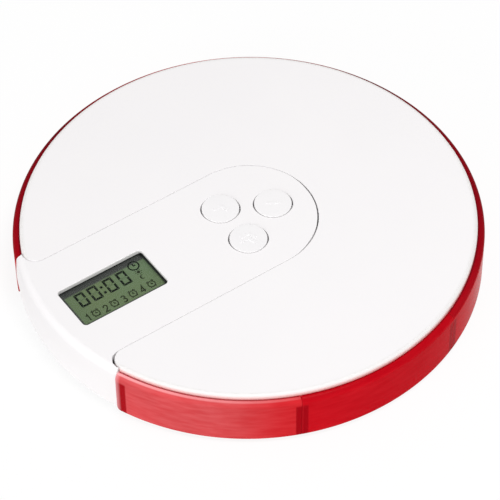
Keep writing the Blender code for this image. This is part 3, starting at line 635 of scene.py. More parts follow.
def redTranslucent(name, finish):
    # Clear red plastic, with flow lines that run round the case, and painted highlights and shade on its
    # fronts
    material, tree, shader = newMaterial(name)
    places = measures(tree)

    def alongFront(shares):
        # Changes from one end of the front to the other
        return ranged(tree, places["bearing"], (-halfSector, halfSector), shares)

    wrapped = addNode(tree, "ShaderNodeCombineXYZ")
    tree.links.new(product(tree, places["bearing"], finish["flowLength"]), wrapped.inputs["X"])
    tree.links.new(product(tree, places["Z"], finish["flowHeight"]), wrapped.inputs["Y"])
    flow = ranged(tree, noiseOf(tree, wrapped.outputs[0], 1, detail=4), noiseMiddle, (0, 1))
    drift = ranged(tree, noiseOf(tree, objectPlace(tree), finish["driftScale"]), noiseMiddle, (0, 1))
    colour = blended(tree, flow, finish["colour"], finish["flowColour"])
    colour = blended(tree, product(tree, drift, finish["driftShare"]), colour, finish["deepColour"])
    # A painted pale sheen, varied by bearing and streaked by the flow lines
    if "sheenColour" in finish:
        hazeAndSheen = ranged(tree, places["bearing"], finish["sheenBearings"], finish["sheenShares"], smooth=True)
        hazeAndSheen = product(tree, hazeAndSheen, ranged(tree, flow, (0, 1), finish["sheenFlow"]))
        colour = blended(tree, hazeAndSheen, colour, finish["sheenColour"])

    # Deeper where a side wall stands behind the front, and a painted highlight along the end of the front
    # itself
    sideAngle = arithmetic(tree, "SUBTRACT", halfSector, arithmetic(tree, "ABSOLUTE", places["bearing"], 0))
    fromEnd = arithmetic(tree, "ADD", product(tree, sideAngle, caseRadius), alongFront(finish["stripLeans"]))
    strip = ranged(tree, fromEnd, finish["stripEdge"], (finish["stripShare"], 0), smooth=True)
    strip = product(tree, strip, ranged(tree, places["Z"], finish["stripTop"], (1, 0), smooth=True))
    colour = blended(tree, strip, colour, finish["stripColour"])
    end = product(tree, ranged(tree, fromEnd, finish["endEdge"], (1, 0)), alongFront(finish["endShares"]))
    colour = blended(tree, end, colour, finish["endHighlightColour"])

    # Painted light on the shoulder of the front, a highlight on one drawer and shade on the others, and
    # painted shade on its level lip
    facing = addNode(tree, "ShaderNodeSeparateXYZ")
    tree.links.new(addNode(tree, "ShaderNodeNewGeometry").outputs["Normal"], facing.inputs[0])
    atFront = ranged(tree, places["radius"], finish["frontRadii"], (0, 1))
    shoulderLight = ranged(tree, facing.outputs["Z"], finish["shoulderLightRise"], (0, 1), smooth=True)
    shoulderLight = product(tree, product(tree, shoulderLight, alongFront(finish["shoulderLightShares"])), atFront)
    colour = blended(tree, shoulderLight, colour, finish["shoulderLightColour"])
    # Painted shade on the level lip under the cover's edge
    lip = ranged(tree, facing.outputs["Z"], finish["lipShadeTurn"], (0, finish["lipShadeShare"]), smooth=True)
    colour = blended(tree, product(tree, lip, atFront), colour, finish["lipShadeColour"])

    tree.links.new(colour, shader.inputs["Base Color"])
    tree.links.new(ranged(tree, flow, (0, 1), finish["roughness"]), shader.inputs["Roughness"])
    shader.inputs["Transmission Weight"].default_value = finish["clearShare"]
    shader.inputs["IOR"].default_value = finish["refraction"]
    shader.inputs["Specular IOR Level"].default_value = finish["shine"]
    bumped(tree, shader, flow, finish["flowDepth"])
    return material


redFinish = {
    "colour": (0.56, 0.003, 0.010),
    "flowColour": (0.61, 0.008, 0.016),
    "deepColour": (0.42, 0.001, 0.005),
    "driftShare": 0.25,
    "driftScale": 60,
    "stripEdge": (0.0013, 0.0018),
    "stripLeans": (0, 0),
    "stripTop": (0.0120, 0.0130),
    "stripShare": 0.96,
    "stripColour": (0.36, 0.001, 0.006),
    "endEdge": (0.0002, 0.0004),
    "endShares": (0.5, 0.5),
    "endHighlightColour": (0.56, 0.010, 0.018),
    "frontRadii": (0.0568, 0.0574),
    "lipShadeTurn": (0.985, 0.998),
    "lipShadeShare": 0.9,
    "lipShadeColour": (0.26, 0.003, 0.007),
    "shoulderLightRise": (0.15, 0.80),
    "shoulderLightShares": (0.5, 0.5),
    "shoulderLightColour": (0.38, 0.001, 0.006),
    "flowLength": 9,
    "flowHeight": 800,
    "flowDepth": 0.000004,
    "roughness": (0.16, 0.26),
    "clearShare": 0.01,
    "refraction": 1.49,
    "shine": 0.008,
}
drawerRed = redTranslucent("drawerRed", redFinish)

# The drawer beside the tongue is a lighter, painted lit copy of the red, with a painted pale sheen that
# fades towards the end away from the tongue, and painted pink highlights on its shoulder and at its tongue
# end
sheenedRed = redTranslucent("sheenedRed", {
    **redFinish,
    "colour": (0.63, 0.004, 0.011),
    "flowColour": (0.68, 0.010, 0.018),
    "stripEdge": (0.0015, 0.0020),
    "stripLeans": (-0.0011, 0.0003),
    "endEdge": (-0.0010, 0.0003),
    "endShares": (0.8, 0.1),
    "endHighlightColour": (0.80, 0.36, 0.38),
    "shoulderLightRise": (0.80, 0.94),
    "shoulderLightShares": (0.75, 0.10),
    "shoulderLightColour": (1.0, 0.46, 0.48),
    "sheenBearings": (0, 0.95 * halfSector),
    "sheenShares": (0.098, 0.018),
    "sheenFlow": (0.80, 1.20),
    "sheenColour": (0.90, 0.75, 0.75),
})

# Painted shade, deeper on the shoulder and lip of five drawers, by a share at each end of the front
shadedFinish = {
    **redFinish,
    "shoulderLightRise": (0.05, 0.50),
    "shoulderLightColour": (0.14, 0.001, 0.005),
    "lipShadeColour": (0.17, 0.003, 0.009),
}
shadedShares = {3: (0.4, 0.8), 4: (0.8, 1.0), 5: (1.0, 0.1), 6: (0.1, 1.0), 7: (1.0, 0.55)}
shadedReds = {
    number: redTranslucent(f"shadedRed{number}", {**shadedFinish, "shoulderLightShares": shares})
    for number, shares in shadedShares.items()
}


def steelFinish(name, finish):
    material, tree, shader = newMaterial(name)
    place = objectPlace(tree, finish["stretch"])
    brushed = ranged(tree, noiseOf(tree, place, finish["brushScale"], detail=5), noiseMiddle, (0, 1))
    tree.links.new(blended(tree, brushed, finish["colour"], finish["shade"]), shader.inputs["Base Color"])
    tree.links.new(ranged(tree, brushed, (0, 1), finish["roughness"]), shader.inputs["Roughness"])
    shader.inputs["Metallic"].default_value = 1
    bumped(tree, shader, brushed, finish["brushDepth"])
    return material


brightSteel = steelFinish("brightSteel", {
    "colour": (0.66, 0.66, 0.68),
    "shade": (0.52, 0.52, 0.54),
    "stretch": (1, 1, 0.1),
    "brushScale": 2600,
    "brushDepth": 0.000004,
    "roughness": (0.22, 0.36),
})
springSteel = steelFinish("springSteel", {
    "colour": (0.72, 0.68, 0.58),
    "shade": (0.60, 0.55, 0.44),
    "stretch": (0.1, 1, 1),
    "brushScale": 3200,
    "brushDepth": 0.000003,
    "roughness": (0.18, 0.30),
})


def boardLaminate(name, finish):
    # Green mask over copper: the tracks show as raised paler lines
    material, tree, shader = newMaterial(name)
    place = objectPlace(tree)
    tracks = addNode(tree, "ShaderNodeTexVoronoi", feature="DISTANCE_TO_EDGE", distance="CHEBYCHEV")
    tracks.inputs["Scale"].default_value = finish["trackScale"]
    tree.links.new(place, tracks.inputs["Vector"])
    track = ranged(tree, tracks.outputs["Distance"], finish["trackEdge"], (1, 0))
    colour = blended(tree, track, finish["mask"], finish["track"])
    weave = ranged(tree, noiseOf(tree, place, finish["weaveScale"]), noiseMiddle, (0, finish["weaveShare"]))
    tree.links.new(blended(tree, weave, colour, finish["fibre"]), shader.inputs["Base Color"])
    tree.links.new(ranged(tree, weave, (0, 1), finish["roughness"]), shader.inputs["Roughness"])
    bumped(tree, shader, track, finish["trackDepth"])
    return material


greenLaminate = boardLaminate("greenLaminate", {
    "mask": (0.012, 0.085, 0.030),
    "track": (0.030, 0.170, 0.060),
    "fibre": (0.045, 0.110, 0.050),
    "trackScale": 420,
    "trackEdge": (0.04, 0.07),
    "trackDepth": 0.00003,
    "weaveScale": 2600,
    "weaveShare": 0.4,
    "roughness": (0.24, 0.40),
})


def displayFace(name, finish):
    # The reflector of a liquid crystal display: grey green with a fine sparkle
    material, tree, shader = newMaterial(name)
    place = objectPlace(tree)
    sparkle = ranged(tree, noiseOf(tree, place, finish["sparkleScale"], detail=2), noiseMiddle, (0, 1))
    drift = ranged(tree, noiseOf(tree, place, finish["driftScale"]), noiseMiddle, (0, finish["driftShare"]))
    colour = blended(tree, sparkle, finish["colour"], finish["sparkleColour"])
    colour = blended(tree, drift, colour, finish["warmColour"])
    places = measures(tree)
    for axis, start, end in finish.get("borders", ()):
        border = ranged(tree, places[axis], (start, end), (0, 1), smooth=True)
        colour = blended(tree, border, colour, finish["borderColour"])
    tree.links.new(colour, shader.inputs["Base Color"])
    tree.links.new(ranged(tree, sparkle, (0, 1), finish["roughness"]), shader.inputs["Roughness"])
    shader.inputs["Specular IOR Level"].default_value = finish["shine"]
    return material


displayFinish = {
    "sparkleScale": 2400,
    "driftScale": 60,
    "driftShare": 0.6,
    "roughness": (0.36, 0.46),
    "shine": 0.03,
}
displayGreen = displayFace("displayGreen", {
    **displayFinish,
    "colour": (0.164, 0.252, 0.134),
    "sparkleColour": (0.186, 0.280, 0.156),
    "warmColour": (0.190, 0.248, 0.108),
    "borderColour": (0.080, 0.084, 0.080),
    "borders": (
        ("X", windowMiddle.x + 0.0122, windowMiddle.x + 0.0125),
        ("X", windowMiddle.x - 0.0110, windowMiddle.x - 0.0113),
        ("Y", windowMiddle.y + 0.0048, windowMiddle.y + 0.0055),
        ("Y", windowMiddle.y - 0.0047, windowMiddle.y - 0.0050),
    ),
    "roughness": (0.34, 0.44),
    "shine": 0.08,
})
markBlack = displayFace("markBlack", {
    **displayFinish,
    "colour": (0.002, 0.005, 0.002),
    "sparkleColour": (0.004, 0.008, 0.003),
    "warmColour": (0.005, 0.007, 0.003),
    "driftShare": 0.5,
})
markSoft = displayFace("markSoft", {
    **displayFinish,
    "colour": (0.026, 0.040, 0.018),
    "sparkleColour": (0.036, 0.050, 0.026),
    "warmColour": (0.038, 0.044, 0.016),
})
markFaint = displayFace("markFaint", {
    **displayFinish,
    "colour": (0.138, 0.216, 0.112),
    "sparkleColour": (0.158, 0.236, 0.128),
    "warmColour": (0.152, 0.208, 0.096),
    "roughness": (0.35, 0.45),
    "shine": 0.08,
})


def clearWindow(name, finish):
    material, tree, shader = newMaterial(name)
    hazeAndSheen = noiseOf(tree, objectPlace(tree), finish["hazeScale"])
    tree.links.new(ranged(tree, hazeAndSheen, noiseMiddle, finish["roughness"]), shader.inputs["Roughness"])
    shader.inputs["Base Color"].default_value = (*finish["colour"], 1)
    shader.inputs["Alpha"].default_value = finish["solidShare"]
    shader.inputs["Specular IOR Level"].default_value = finish["shine"]
    return material


lensClear = clearWindow("lensClear", {
    "colour": (0.03, 0.04, 0.035),
    "solidShare": 0.10,
    "shine": 0.5,
    "hazeScale": 220,
    "roughness": (0.03, 0.07),
})
stripRubber = mouldedPlastic("stripRubber", {
    "colour": (0.20, 0.20, 0.21),
    "shade": (0.10, 0.10, 0.11),
    "wornColour": (0.26, 0.26, 0.27),
    "wear": 0.3,
    "driftScale": 900,
    "patchScale": 1200,
    "roughness": (0.60, 0.75),
    "shine": 0.35,
    "grainScale": 4000,
    "grainDepth": 0.00001,
})
print("materials made")


# Screw bosses under the covers: places as in the frame
bosses = {"radius": 0.0019, "hole": 0.0012, "holeTop": 0.0125, "steps": 32}
coverScrews = {"lid": 4, "control": 3}


def bossForms(kind):
    top = coverUnder + case["coverThickness"] / 2
    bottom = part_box("circuit_board")[1].z
    profile = [
        (0, top),
        (bosses["radius"], top),
        (bosses["radius"], bottom),
        (bosses["hole"], bottom),
        (bosses["hole"], bosses["holeTop"]),
        (0, bosses["holeTop"]),
    ]
    forms = []
    for number in range(1, coverScrews[kind] + 1):
        low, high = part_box(f"{kind}_screw_{number}")
        middle = (low + high) / 2
        forms.append(movedForm(turnedForm(profile, bosses["steps"]), (middle.x, middle.y, 0)))
    return forms


# Top cover: a disc with the tongue's slot cut out, and two rounded corners at its mouth
topCover = {
    "rimRound": 0.0008,
    "underRound": 0.0003,
    "slotShare": 0.08,
    "slotSteps": 80,
    "cornerSteps": 20,
}


def addTopCover():
    slot = case["tongueHalfWidth"] + case["seam"]
    corner, steps = case["mouthRadius"], topCover["cornerSteps"]
    rim = caseArc(coverRadius, -mouthBearing, mouthBearing)
    farCorner = arcPoints(corner, mouthBearing, 3 * rightAngle, steps, (mouthX, mouthY))
    slotEnd = arcPoints(slot, rightAngle, -rightAngle, topCover["slotSteps"])
    nearCorner = arcPoints(corner, rightAngle, fullTurn - mouthBearing, steps, (mouthX, -mouthY))
    outline = rim + farCorner[1:] + slotEnd + nearCorner[:-1]
    slotShare = topCover["slotShare"]
    fade = [1 + (slotShare - 1) * step / steps for step in range(steps + 1)]
    shares = [1] * len(rim) + fade[1:] + [slotShare] * len(slotEnd) + fade[::-1][:-1]
    levels = plateLevels(coverUnder, coverTop, topCover["underRound"], topCover["rimRound"])
    cover = newPiece("topCoverShell", loftedForm(outline, levels, shares))
    joinTo(cover, *bossForms("lid"))
    finishPiece(cover, coverWhite, "white_plastic", "case", "top_cover")


addTopCover()
print("top cover made")


# Control cover: the tongue, its nose over the rim, the window and the button holes
controlCover = {
    "noseTopRadius": 0.0020,
    "noseHeelRadius": 0.0022,
    "noseBulge": 0.0003,
    "noseSteps": 16,
    "skirtThickness": 0.0016,
    "innerRound": 0.0006,
    "lift": 0.0002,
    "endGap": 0.00012,
    "seamRound": 0.00007,
    "swell": 0.00026,
    # Where the seam stands open: centre, reach of the widest stretch and of all of it, and
    # the share of the swell that is left there
    "openPlaces": (
        ((0.0147, -0.0096), 0.0095, 0.0150, 0),
        ((-0.0534, -0.0195), 0.0010, 0.0032, -0.7),
    ),
    "edgeRound": 0.00022,
    "slotSteps": 80,
    "cornerSteps": 24,
}
window = {
    "length": 0.0248,
    "width": 0.0132,
    "corner": 0.0011,
    "bezel": 0.0013,
    "flare": 0.00022,
    "cornerSteps": 10,
}
buttons = {
    "names": ("hour", "minute", "set"),
    "radius": 0.0048,
    "gap": 0.00010,
    "sideGap": 0.00026,
    "sideBearing": math.radians(-32),
    "sideFocus": 6,
    "holeFlare": 0.00006,
    "holeSteps": 96,
}


def rectangle(centre, halfLength, halfWidth, corner=0, steps=0):
    x, y = centre[0], centre[1]
    points = [(x + side * halfLength, y + rise * halfWidth) for side, rise in squareCorners]
    return tidyOutline(roundedOutline(points, corner, steps)) if corner else points


def swollen(outline):
    # Fills most of the seam, but for the places where it stands open
    points = []
    for point, move in zip(outline, mitres(outline)):
        share = 1
        for place, near, far, least in controlCover["openPlaces"]:
            away = (Vector(point) - Vector(place)).length
            rise = min(1, max(0, (away - near) / (far - near)))
            share = min(share, least + (1 - least) * rise)
        points.append(tuple(Vector(point) + move * controlCover["swell"] * share))
    return points


def addControlCover():
    shape = controlCover
    bottom = baseBottom + shape["lift"]
    side = caseRadius - shape["noseBulge"]
    steps = shape["noseSteps"]
    topCentre = (side - shape["noseTopRadius"], coverTop - shape["noseTopRadius"])
    heelCentre = (side - shape["noseHeelRadius"], bottom + shape["noseHeelRadius"])
    profile = arcPoints(shape["noseTopRadius"], rightAngle, 0, steps, topCentre)
    wallHeight = topCentre[1] - heelCentre[1]
    for step in range(1, steps):
        share = step / steps
        barrel = shape["noseBulge"] * math.sin(math.pi * share)
        profile.append((side + barrel, topCentre[1] - wallHeight * share))
    profile += arcPoints(shape["noseHeelRadius"], 0, -rightAngle, steps, heelCentre)
    cover = newPiece("controlCoverShell", turnedForm(profile, case["roundSteps"], capped=True))

    # The tongue's outline: round end, straight sides, then round the top cover's corners
    cornerRadius = case["mouthRadius"] + case["seam"]
    endBearing = math.pi - halfSector + shape["endGap"] / caseRadius
    along = mouthX * math.cos(endBearing) + mouthY * math.sin(endBearing)
    aside = mouthX * math.sin(endBearing) - mouthY * math.cos(endBearing)
    endX, endY = polar(along + math.sqrt(cornerRadius ** 2 - aside ** 2), endBearing)
    cornerEnd = -(-math.atan2(endY - mouthY, endX - mouthX) % fullTurn)
    outline = arcPoints(case["tongueHalfWidth"], -rightAngle, rightAngle, shape["slotSteps"])
    outline += arcPoints(cornerRadius, -rightAngle, cornerEnd, shape["cornerSteps"], (mouthX, mouthY))
    outline += caseArc(caseRadius + overcut, endBearing, fullTurn - endBearing)
    outline += arcPoints(cornerRadius, -cornerEnd, rightAngle, shape["cornerSteps"], (mouthX, -mouthY))
    outline = tidyOutline(outline)
    levels = plateLevels(bottom - overcut, coverTop, 0, shape["seamRound"])
    shapeWith(cover, "INTERSECT", loftedForm(swollen(outline), levels))

    # The hollow under the tongue and behind the nose
    inner = caseRadius - shape["skirtThickness"]
    innerCentre = (inner - shape["innerRound"], coverUnder - shape["innerRound"])
    inside = arcPoints(shape["innerRound"], rightAngle, 0, steps, innerCentre)
    inside.append((inner, bottom - overcut))
    cutFrom(cover, turnedForm(inside, case["roundSteps"], capped=True))

    half = (window["length"] / 2, window["width"] / 2)
    opening = rectangle(windowMiddle, *half, window["corner"], window["cornerSteps"])
    cutFrom(cover, loftedForm(opening, flareLevels(coverUnder - overcut, coverTop, window["flare"])))
    pocketSize = (windowHigh - windowLow) / 2
    pocket = rectangle(windowMiddle, pocketSize.x + case["gap"], pocketSize.y + case["gap"])
    pocketLevels = [(0, coverUnder - overcut, 0), (0, coverTop - window["bezel"], 0)]
    cutFrom(cover, loftedForm(pocket, pocketLevels))

    for name in buttons["names"]:
        low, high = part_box(f"button_{name}")
        middle = (low + high) / 2
        hole = []
        for step in range(buttons["holeSteps"]):
            bearing = fullTurn * step / buttons["holeSteps"]
            lean = math.cos(bearing - buttons["sideBearing"]) ** buttons["sideFocus"]
            gap = buttons["gap"] + buttons["sideGap"] * lean
            hole.append(polar(buttons["radius"] + gap, bearing, middle))
        levels = flareLevels(coverUnder - overcut, coverTop, buttons["holeFlare"])
        cutFrom(cover, loftedForm(tidyOutline(hole), levels))
    softenEdges(cover, shape["edgeRound"])
    joinTo(cover, *bossForms("control"))
    finishPiece(cover, tongueWhite, "white_plastic", "case", "control_cover")


addControlCover()
print("control cover made")


# Drawers: one mesh, modelled along +X and turned into seven places
drawer = {
    "count": 7,
    "materials": {1: sheenedRed, **shadedReds},
    "frontThickness": 0.0018,
    "endGap": 0.00003,
    "seamCorner": 0.0004,
    "tongueCorner": 0.0025,
    "tongueSides": {1: -1, 7: 1},
    "lipRadius": 0.0015,
    "heelRadius": 0.0015,
    "roundSteps": 8,
    "trayBottom": 0.0025,
    "trayFloor": 0.0014,
    "cornerRadius": 0.0020,
    "scoopRadius": 0.0016,
    "frontLedge": 0.0005,
    "railHalfWidth": 0.0018,
    "railTop": 0.0033,
    "railEnd": 0.0551,
    "edgeRound": 0.00010,
}


def wedgeOutline(inner, outer, offset):
    # A wedge whose sides stand parallel to the seams, at that distance from them
    outerEnd = halfSector - math.asin(offset / outer)
    innerEnd = halfSector - math.asin(offset / inner)
    return caseArc(outer, -outerEnd, outerEnd) + caseArc(inner, innerEnd, -innerEnd)


def cornerCutter(radius, height, up, side):
    # What rounds a corner of the front: drawn from its end, then laid along the radius
    inner = caseRadius - drawer["frontThickness"]
    bearing = halfSector - drawer["endGap"] / (2 * caseRadius)
    outline = arcPoints(radius, 0, -rightAngle, drawer["roundSteps"], (-radius, radius))
    outline += [(-radius, -overcut), (overcut, -overcut), (overcut, radius)]
    outline = tidyOutline([(side * along, height + up * rise) for along, rise in outline])
    cutter = loftedForm(outline, [(0, inner - overcut, 0), (0, caseRadius + overcut, 0)])
    layDown = Matrix(((0, 0, 1, 0), (1, 0, 0, 0), (0, 1, 0, 0), (0, 0, 0, 1)))
    toCorner = Matrix.Rotation(side * bearing, 4, "Z") @ layDown
    bmesh.ops.transform(cutter, matrix=toCorner, verts=cutter.verts)
    return cutter


def addDrawers():
    inner = caseRadius - drawer["frontThickness"]
    steps = drawer["roundSteps"]
    lip, heel = drawer["lipRadius"], drawer["heelRadius"]
    profile = [(inner, drawerTop)]
    profile += arcPoints(lip, rightAngle, 0, steps, (caseRadius - lip, drawerTop - lip))
    heelCentre = (caseRadius - heel, drawerFoot + heel)
    profile += arcPoints(heel, 0, -rightAngle, steps, heelCentre)
    profile.append((inner, drawerFoot))
    endBearing = halfSector - drawer["endGap"] / (2 * caseRadius)
    piece = newPiece("drawerForm", sectorForm(profile, -endBearing, endBearing))
    for side in (1, -1):
        for height, up in ((drawerFoot, 1), (drawerTop, -1)):
            cutFrom(piece, cornerCutter(drawer["seamCorner"], height, up, side))

    trayTop = coverUnder - case["gap"]
    trayBack = case["hubRadius"] + case["gap"]
    sideOffset = case["wall"] / 2 + case["gap"]
    trayOutline = wedgeOutline(trayBack, inner + drawer["frontThickness"] / 2, sideOffset)
    tray = loftedForm(tidyOutline(trayOutline), plateLevels(drawer["trayBottom"], trayTop, 0, 0))
    joinTo(piece, tray)

    wall = case["wall"]
    cavityOutline = wedgeOutline(trayBack + wall, inner - drawer["frontLedge"], sideOffset + wall)
    cavityOutline = roundedOutline(tidyOutline(cavityOutline), drawer["cornerRadius"], steps)
    cavityFloor = drawer["trayBottom"] + drawer["trayFloor"]
    cavityLevels = plateLevels(cavityFloor, trayTop + overcut, drawer["scoopRadius"], 0, steps)
    cutFrom(piece, loftedForm(tidyOutline(cavityOutline), cavityLevels))
    channel = boxForm(
        (trayBack - overcut, -drawer["railHalfWidth"], drawer["trayBottom"] - overcut),
        (drawer["railEnd"], drawer["railHalfWidth"], drawer["railTop"]),
    )
    cutFrom(piece, channel)
    mesh = piece.data
    bpy.data.objects.remove(piece, do_unlink=True)
    for number in range(1, drawer["count"] + 1):
        copy = bpy.data.objects.new(f"drawerShell{number}", mesh.copy())
        bpy.context.scene.collection.objects.link(copy)
        if number in drawer["tongueSides"]:
            side = drawer["tongueSides"][number]
            cutFrom(copy, cornerCutter(drawer["tongueCorner"], drawerFoot, 1, side))
        softenEdges(copy, drawer["edgeRound"])
        copy.rotation_euler = (0, 0, math.pi + number * 2 * halfSector)
        material = drawer["materials"].get(number, drawerRed)
        finishPiece(copy, material, "red_plastic", f"drawer_{number}", f"pill_drawer_{number}")


addDrawers()
print("drawers made")


# Button caps, each with a raised mark: one chevron, two chevrons and a bar
cap = {
    "round": 0.00012,
    "crown": 0.00006,
    "crownSteps": 6,
    "markBearing": math.radians(-34),
    "flangeReach": 0.0010,
    "flangeThickness": 0.0008,
    "nubRadius": 0.0020,
    "nubHeight": 0.0004,
    "steps": 96,
    "markRise": 0.00006,
    "markSteps": 3,
    "markStroke": 0.00070,
    "chevronHalfWidth": 0.0019,
    "chevronHeight": 0.0014,
    "chevronStep": 0.0017,
    "barHalfLength": 0.0017,
}


def strokeForm(points, width, levels):
    # A flat band of even width along a line of points
    left, right = [], []
    for index, point in enumerate(points):
        here = Vector(point)
        before = here - Vector(points[index - 1]) if index else Vector(points[1]) - here
        after = Vector(points[index + 1]) - here if index + 1 < len(points) else before
        both = Vector((-before.y, before.x)).normalized() + Vector((-after.y, after.x)).normalized()
        side = both * width / both.length_squared
        left.append(tuple(here + side))
        right.append(tuple(here - side))
    return loftedForm(tidyOutline(left + right[::-1]), levels)


def capMarks(name):
    chevron = [(-cap["chevronHalfWidth"], 0), (0, cap["chevronHeight"]), (cap["chevronHalfWidth"], 0)]
    if name == "set":
        return [[(-cap["barHalfLength"], 0), (cap["barHalfLength"], 0)]]
    places = [-cap["chevronHeight"] / 2]
    if name == "minute":
        places = [places[0] - cap["chevronStep"] / 2, places[0] + cap["chevronStep"] / 2]
    return [[(x, y + place) for x, y in chevron] for place in places]


def addButtons():
    for name in buttons["names"]:
        low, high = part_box(f"button_{name}")
        middle = (low + high) / 2
        radius, nub = buttons["radius"], cap["nubRadius"]
        flange = radius + cap["flangeReach"]
        flangeTop = coverUnder - case["gap"]
        flangeBottom = flangeTop - cap["flangeThickness"]
        nubBottom = flangeBottom - cap["nubHeight"]
        capTop = high.z - cap["markRise"]
        shoulder = capTop - cap["crown"]
        profile = [(0, capTop)]
        for step in range(1, cap["crownSteps"]):
            share = step / cap["crownSteps"]
            profile.append(((radius - cap["round"]) * share, capTop - cap["crown"] * share ** 2))
        edgeCentre = (radius - cap["round"], shoulder - cap["round"])
        profile += arcPoints(cap["round"], rightAngle, 0, cap["crownSteps"], edgeCentre)
        profile += [(radius, flangeTop), (flange, flangeTop), (flange, flangeBottom)]
        profile += [(nub, flangeBottom), (nub, nubBottom), (0, nubBottom)]
        forms = [turnedForm(profile, cap["steps"])]
        levels = plateLevels(shoulder, high.z, 0, cap["markRise"] / 2, cap["markSteps"])
        for line in capMarks(name):
            forms.append(movedForm(strokeForm(line, cap["markStroke"], levels), turn=cap["markBearing"]))
        for form in forms:
            movedForm(form, (middle.x, middle.y, 0))
        piece = newPiece(f"buttonCap{name.capitalize()}", *forms)
        finishPiece(piece, buttonWhite, "button_plastic", f"{name}_button", f"button_{name}")


addButtons()
print("buttons made")


# Display: two glass plates, the marks on the upper one, and the clear window over it
display = {
    "ledge": 0.0012,
    "edgeRound": 0.00008,
    "edgeSteps": 3,
    "lensRound": 0.00012,
    "lensCorner": 0.0008,
    "lensSteps": 8,
    "markThickness": 0.00003,
    "digitWidth": 0.00265,
    "digitHeight": 0.00465,
    "digitStroke": 0.00060,
    "digitGap": 0.00005,
    "digitStarts": (-0.04985, -0.04615, -0.0415, -0.0376),
    "digitBase": 0.0002,
    "colonX": -0.0425,
    "colonHeights": (0.00125, 0.0032),
    "colonSize": 0.0007,
    "numeralStarts": (-0.0509, -0.0457, -0.0404, -0.0350),
    "numeralBase": -0.0043,
    "numeralHeight": 0.0021,
    "numeralStroke": 0.00036,
    "alarmCentres": (-0.0480, -0.0426, -0.0371, -0.0316),
    "alarmHeight": -0.0031,
    "alarmRadius": 0.00094,
    "alarmStroke": 0.000288,
    "clockCentre": (-0.03205, 0.0045),
    "clockRadius": 0.00138,
    "clockStroke": 0.00036,
    "dayCentre": (-0.0321, 0.0021),
    "nightCentre": (-0.0321, 0.0002),
    "dayRadius": 0.00045,
    "steps": 40,
}
numerals = {
    "1": [(0.10, 0.76), (0.34, 1.0), (0.34, 0.0)],
    "2": [
        (0.02, 0.74), (0.09, 0.92), (0.27, 1.0), (0.45, 0.92), (0.51, 0.73), (0.42, 0.50),
        (0.03, 0.0), (0.56, 0.0),
    ],
    "3": [
        (0.03, 0.90), (0.24, 1.0), (0.44, 0.92), (0.48, 0.74), (0.26, 0.54), (0.48, 0.42), (0.53, 0.24),
        (0.44, 0.06), (0.24, 0.0), (0.02, 0.09),
    ],
    "4": [(0.60, 0.28), (0.02, 0.28), (0.42, 1.0), (0.42, 0.0)],
}


def digitSegments(width, height, stroke, gap):
    # The seven bars of a digit, in a box from (0, 0)
    middle = height / 2
    half = stroke / 2
    inset, under = stroke + gap, height - stroke
    top = [(gap, height), (width - gap, height), (width - inset, under), (inset, under)]
    left = [(0, height - gap), (stroke, under - gap), (stroke, middle + half + gap), (0, middle + gap)]
    centre = [
        (half + gap, middle), (inset, middle + half), (width - inset, middle + half),
        (width - half - gap, middle), (width - inset, middle - half), (inset, middle - half),
    ]
    lower = [[(x, height - y) for x, y in bar] for bar in (top, left)]
    right = [[(width - x, y) for x, y in bar] for bar in (left, lower[1])]
    return [top, left, *lower, *right], centre


def ringForm(centre, radius, stroke, levels):
    low, high = levels[0][1], levels[-1][1]
    outer, inner = radius + stroke / 2, radius - stroke / 2
    profile = [(inner, high), (outer, high), (outer, low), (inner, low)]
    return movedForm(turnedForm(profile, display["steps"]), (*centre, 0))


# A clock sign, in shares of its dial's radius and in degrees
clockSign = {
    "hands": ((0.55, 90), (0.44, 0)),
    "bells": (125, 55),
    "bellReach": 1.38,
    "bellTurns": (-15, -7.5, 0, 7.5, 15),
    "feet": (-125, -55),
    "footReach": (1.1, 1.42),
}


def clockForms(centre, radius, stroke, levels, alarm=False):
    # A round dial with two hands, and for an alarm two bells and two feet
    def at(distance, degrees):
        return polar(radius * distance, math.radians(degrees), centre)

    minuteHand, hourHand = (at(*hand) for hand in clockSign["hands"])
    lines = [[minuteHand, centre, hourHand]]
    if alarm:
        for bell in clockSign["bells"]:
            lines.append([at(clockSign["bellReach"], bell + turn) for turn in clockSign["bellTurns"]])
        for legBearing in clockSign["feet"]:
            lines.append([at(reach, legBearing) for reach in clockSign["footReach"]])
    return [ringForm(centre, radius, stroke, levels)] + [strokeForm(line, stroke, levels) for line in lines]


# A small sun over a small crescent moon, in shares of the sun's radius
skySigns = {
    "rays": 8,
    "rayReach": (1.4, 2.0),
    "rayStroke": 0.4,
    "moonRadius": 1.6,
    "moonBearings": (math.radians(60), math.radians(300)),
    "hollowShift": 0.8,
    "hollowSteps": 20,
    "steps": 24,
}


def dayAndNightForms(levels):
    radius = display["dayRadius"]
    sun, moon = display["dayCentre"], display["nightCentre"]
    disc = turnedForm([(radius, levels[-1][1]), (radius, levels[0][1])], skySigns["steps"], capped=True)
    forms = [movedForm(disc, (*sun, 0))]
    for number in range(skySigns["rays"]):
        bearing = fullTurn * number / skySigns["rays"]
        line = [polar(radius * reach, bearing, sun) for reach in skySigns["rayReach"]]
        forms.append(strokeForm(line, radius * skySigns["rayStroke"], levels))
    outer = arcPoints(radius * skySigns["moonRadius"], *skySigns["moonBearings"], skySigns["steps"], moon)
    hollow = Vector((moon[0] + radius * skySigns["hollowShift"], moon[1]))
    first, last = Vector(outer[0]) - hollow, Vector(outer[-1]) - hollow
    start, end = math.atan2(last.y, last.x) % fullTurn, math.atan2(first.y, first.x)
    inner = arcPoints(first.length, start, end, skySigns["hollowSteps"], hollow)
    forms.append(loftedForm(tidyOutline(outer + inner[1:-1]), levels))
    return forms


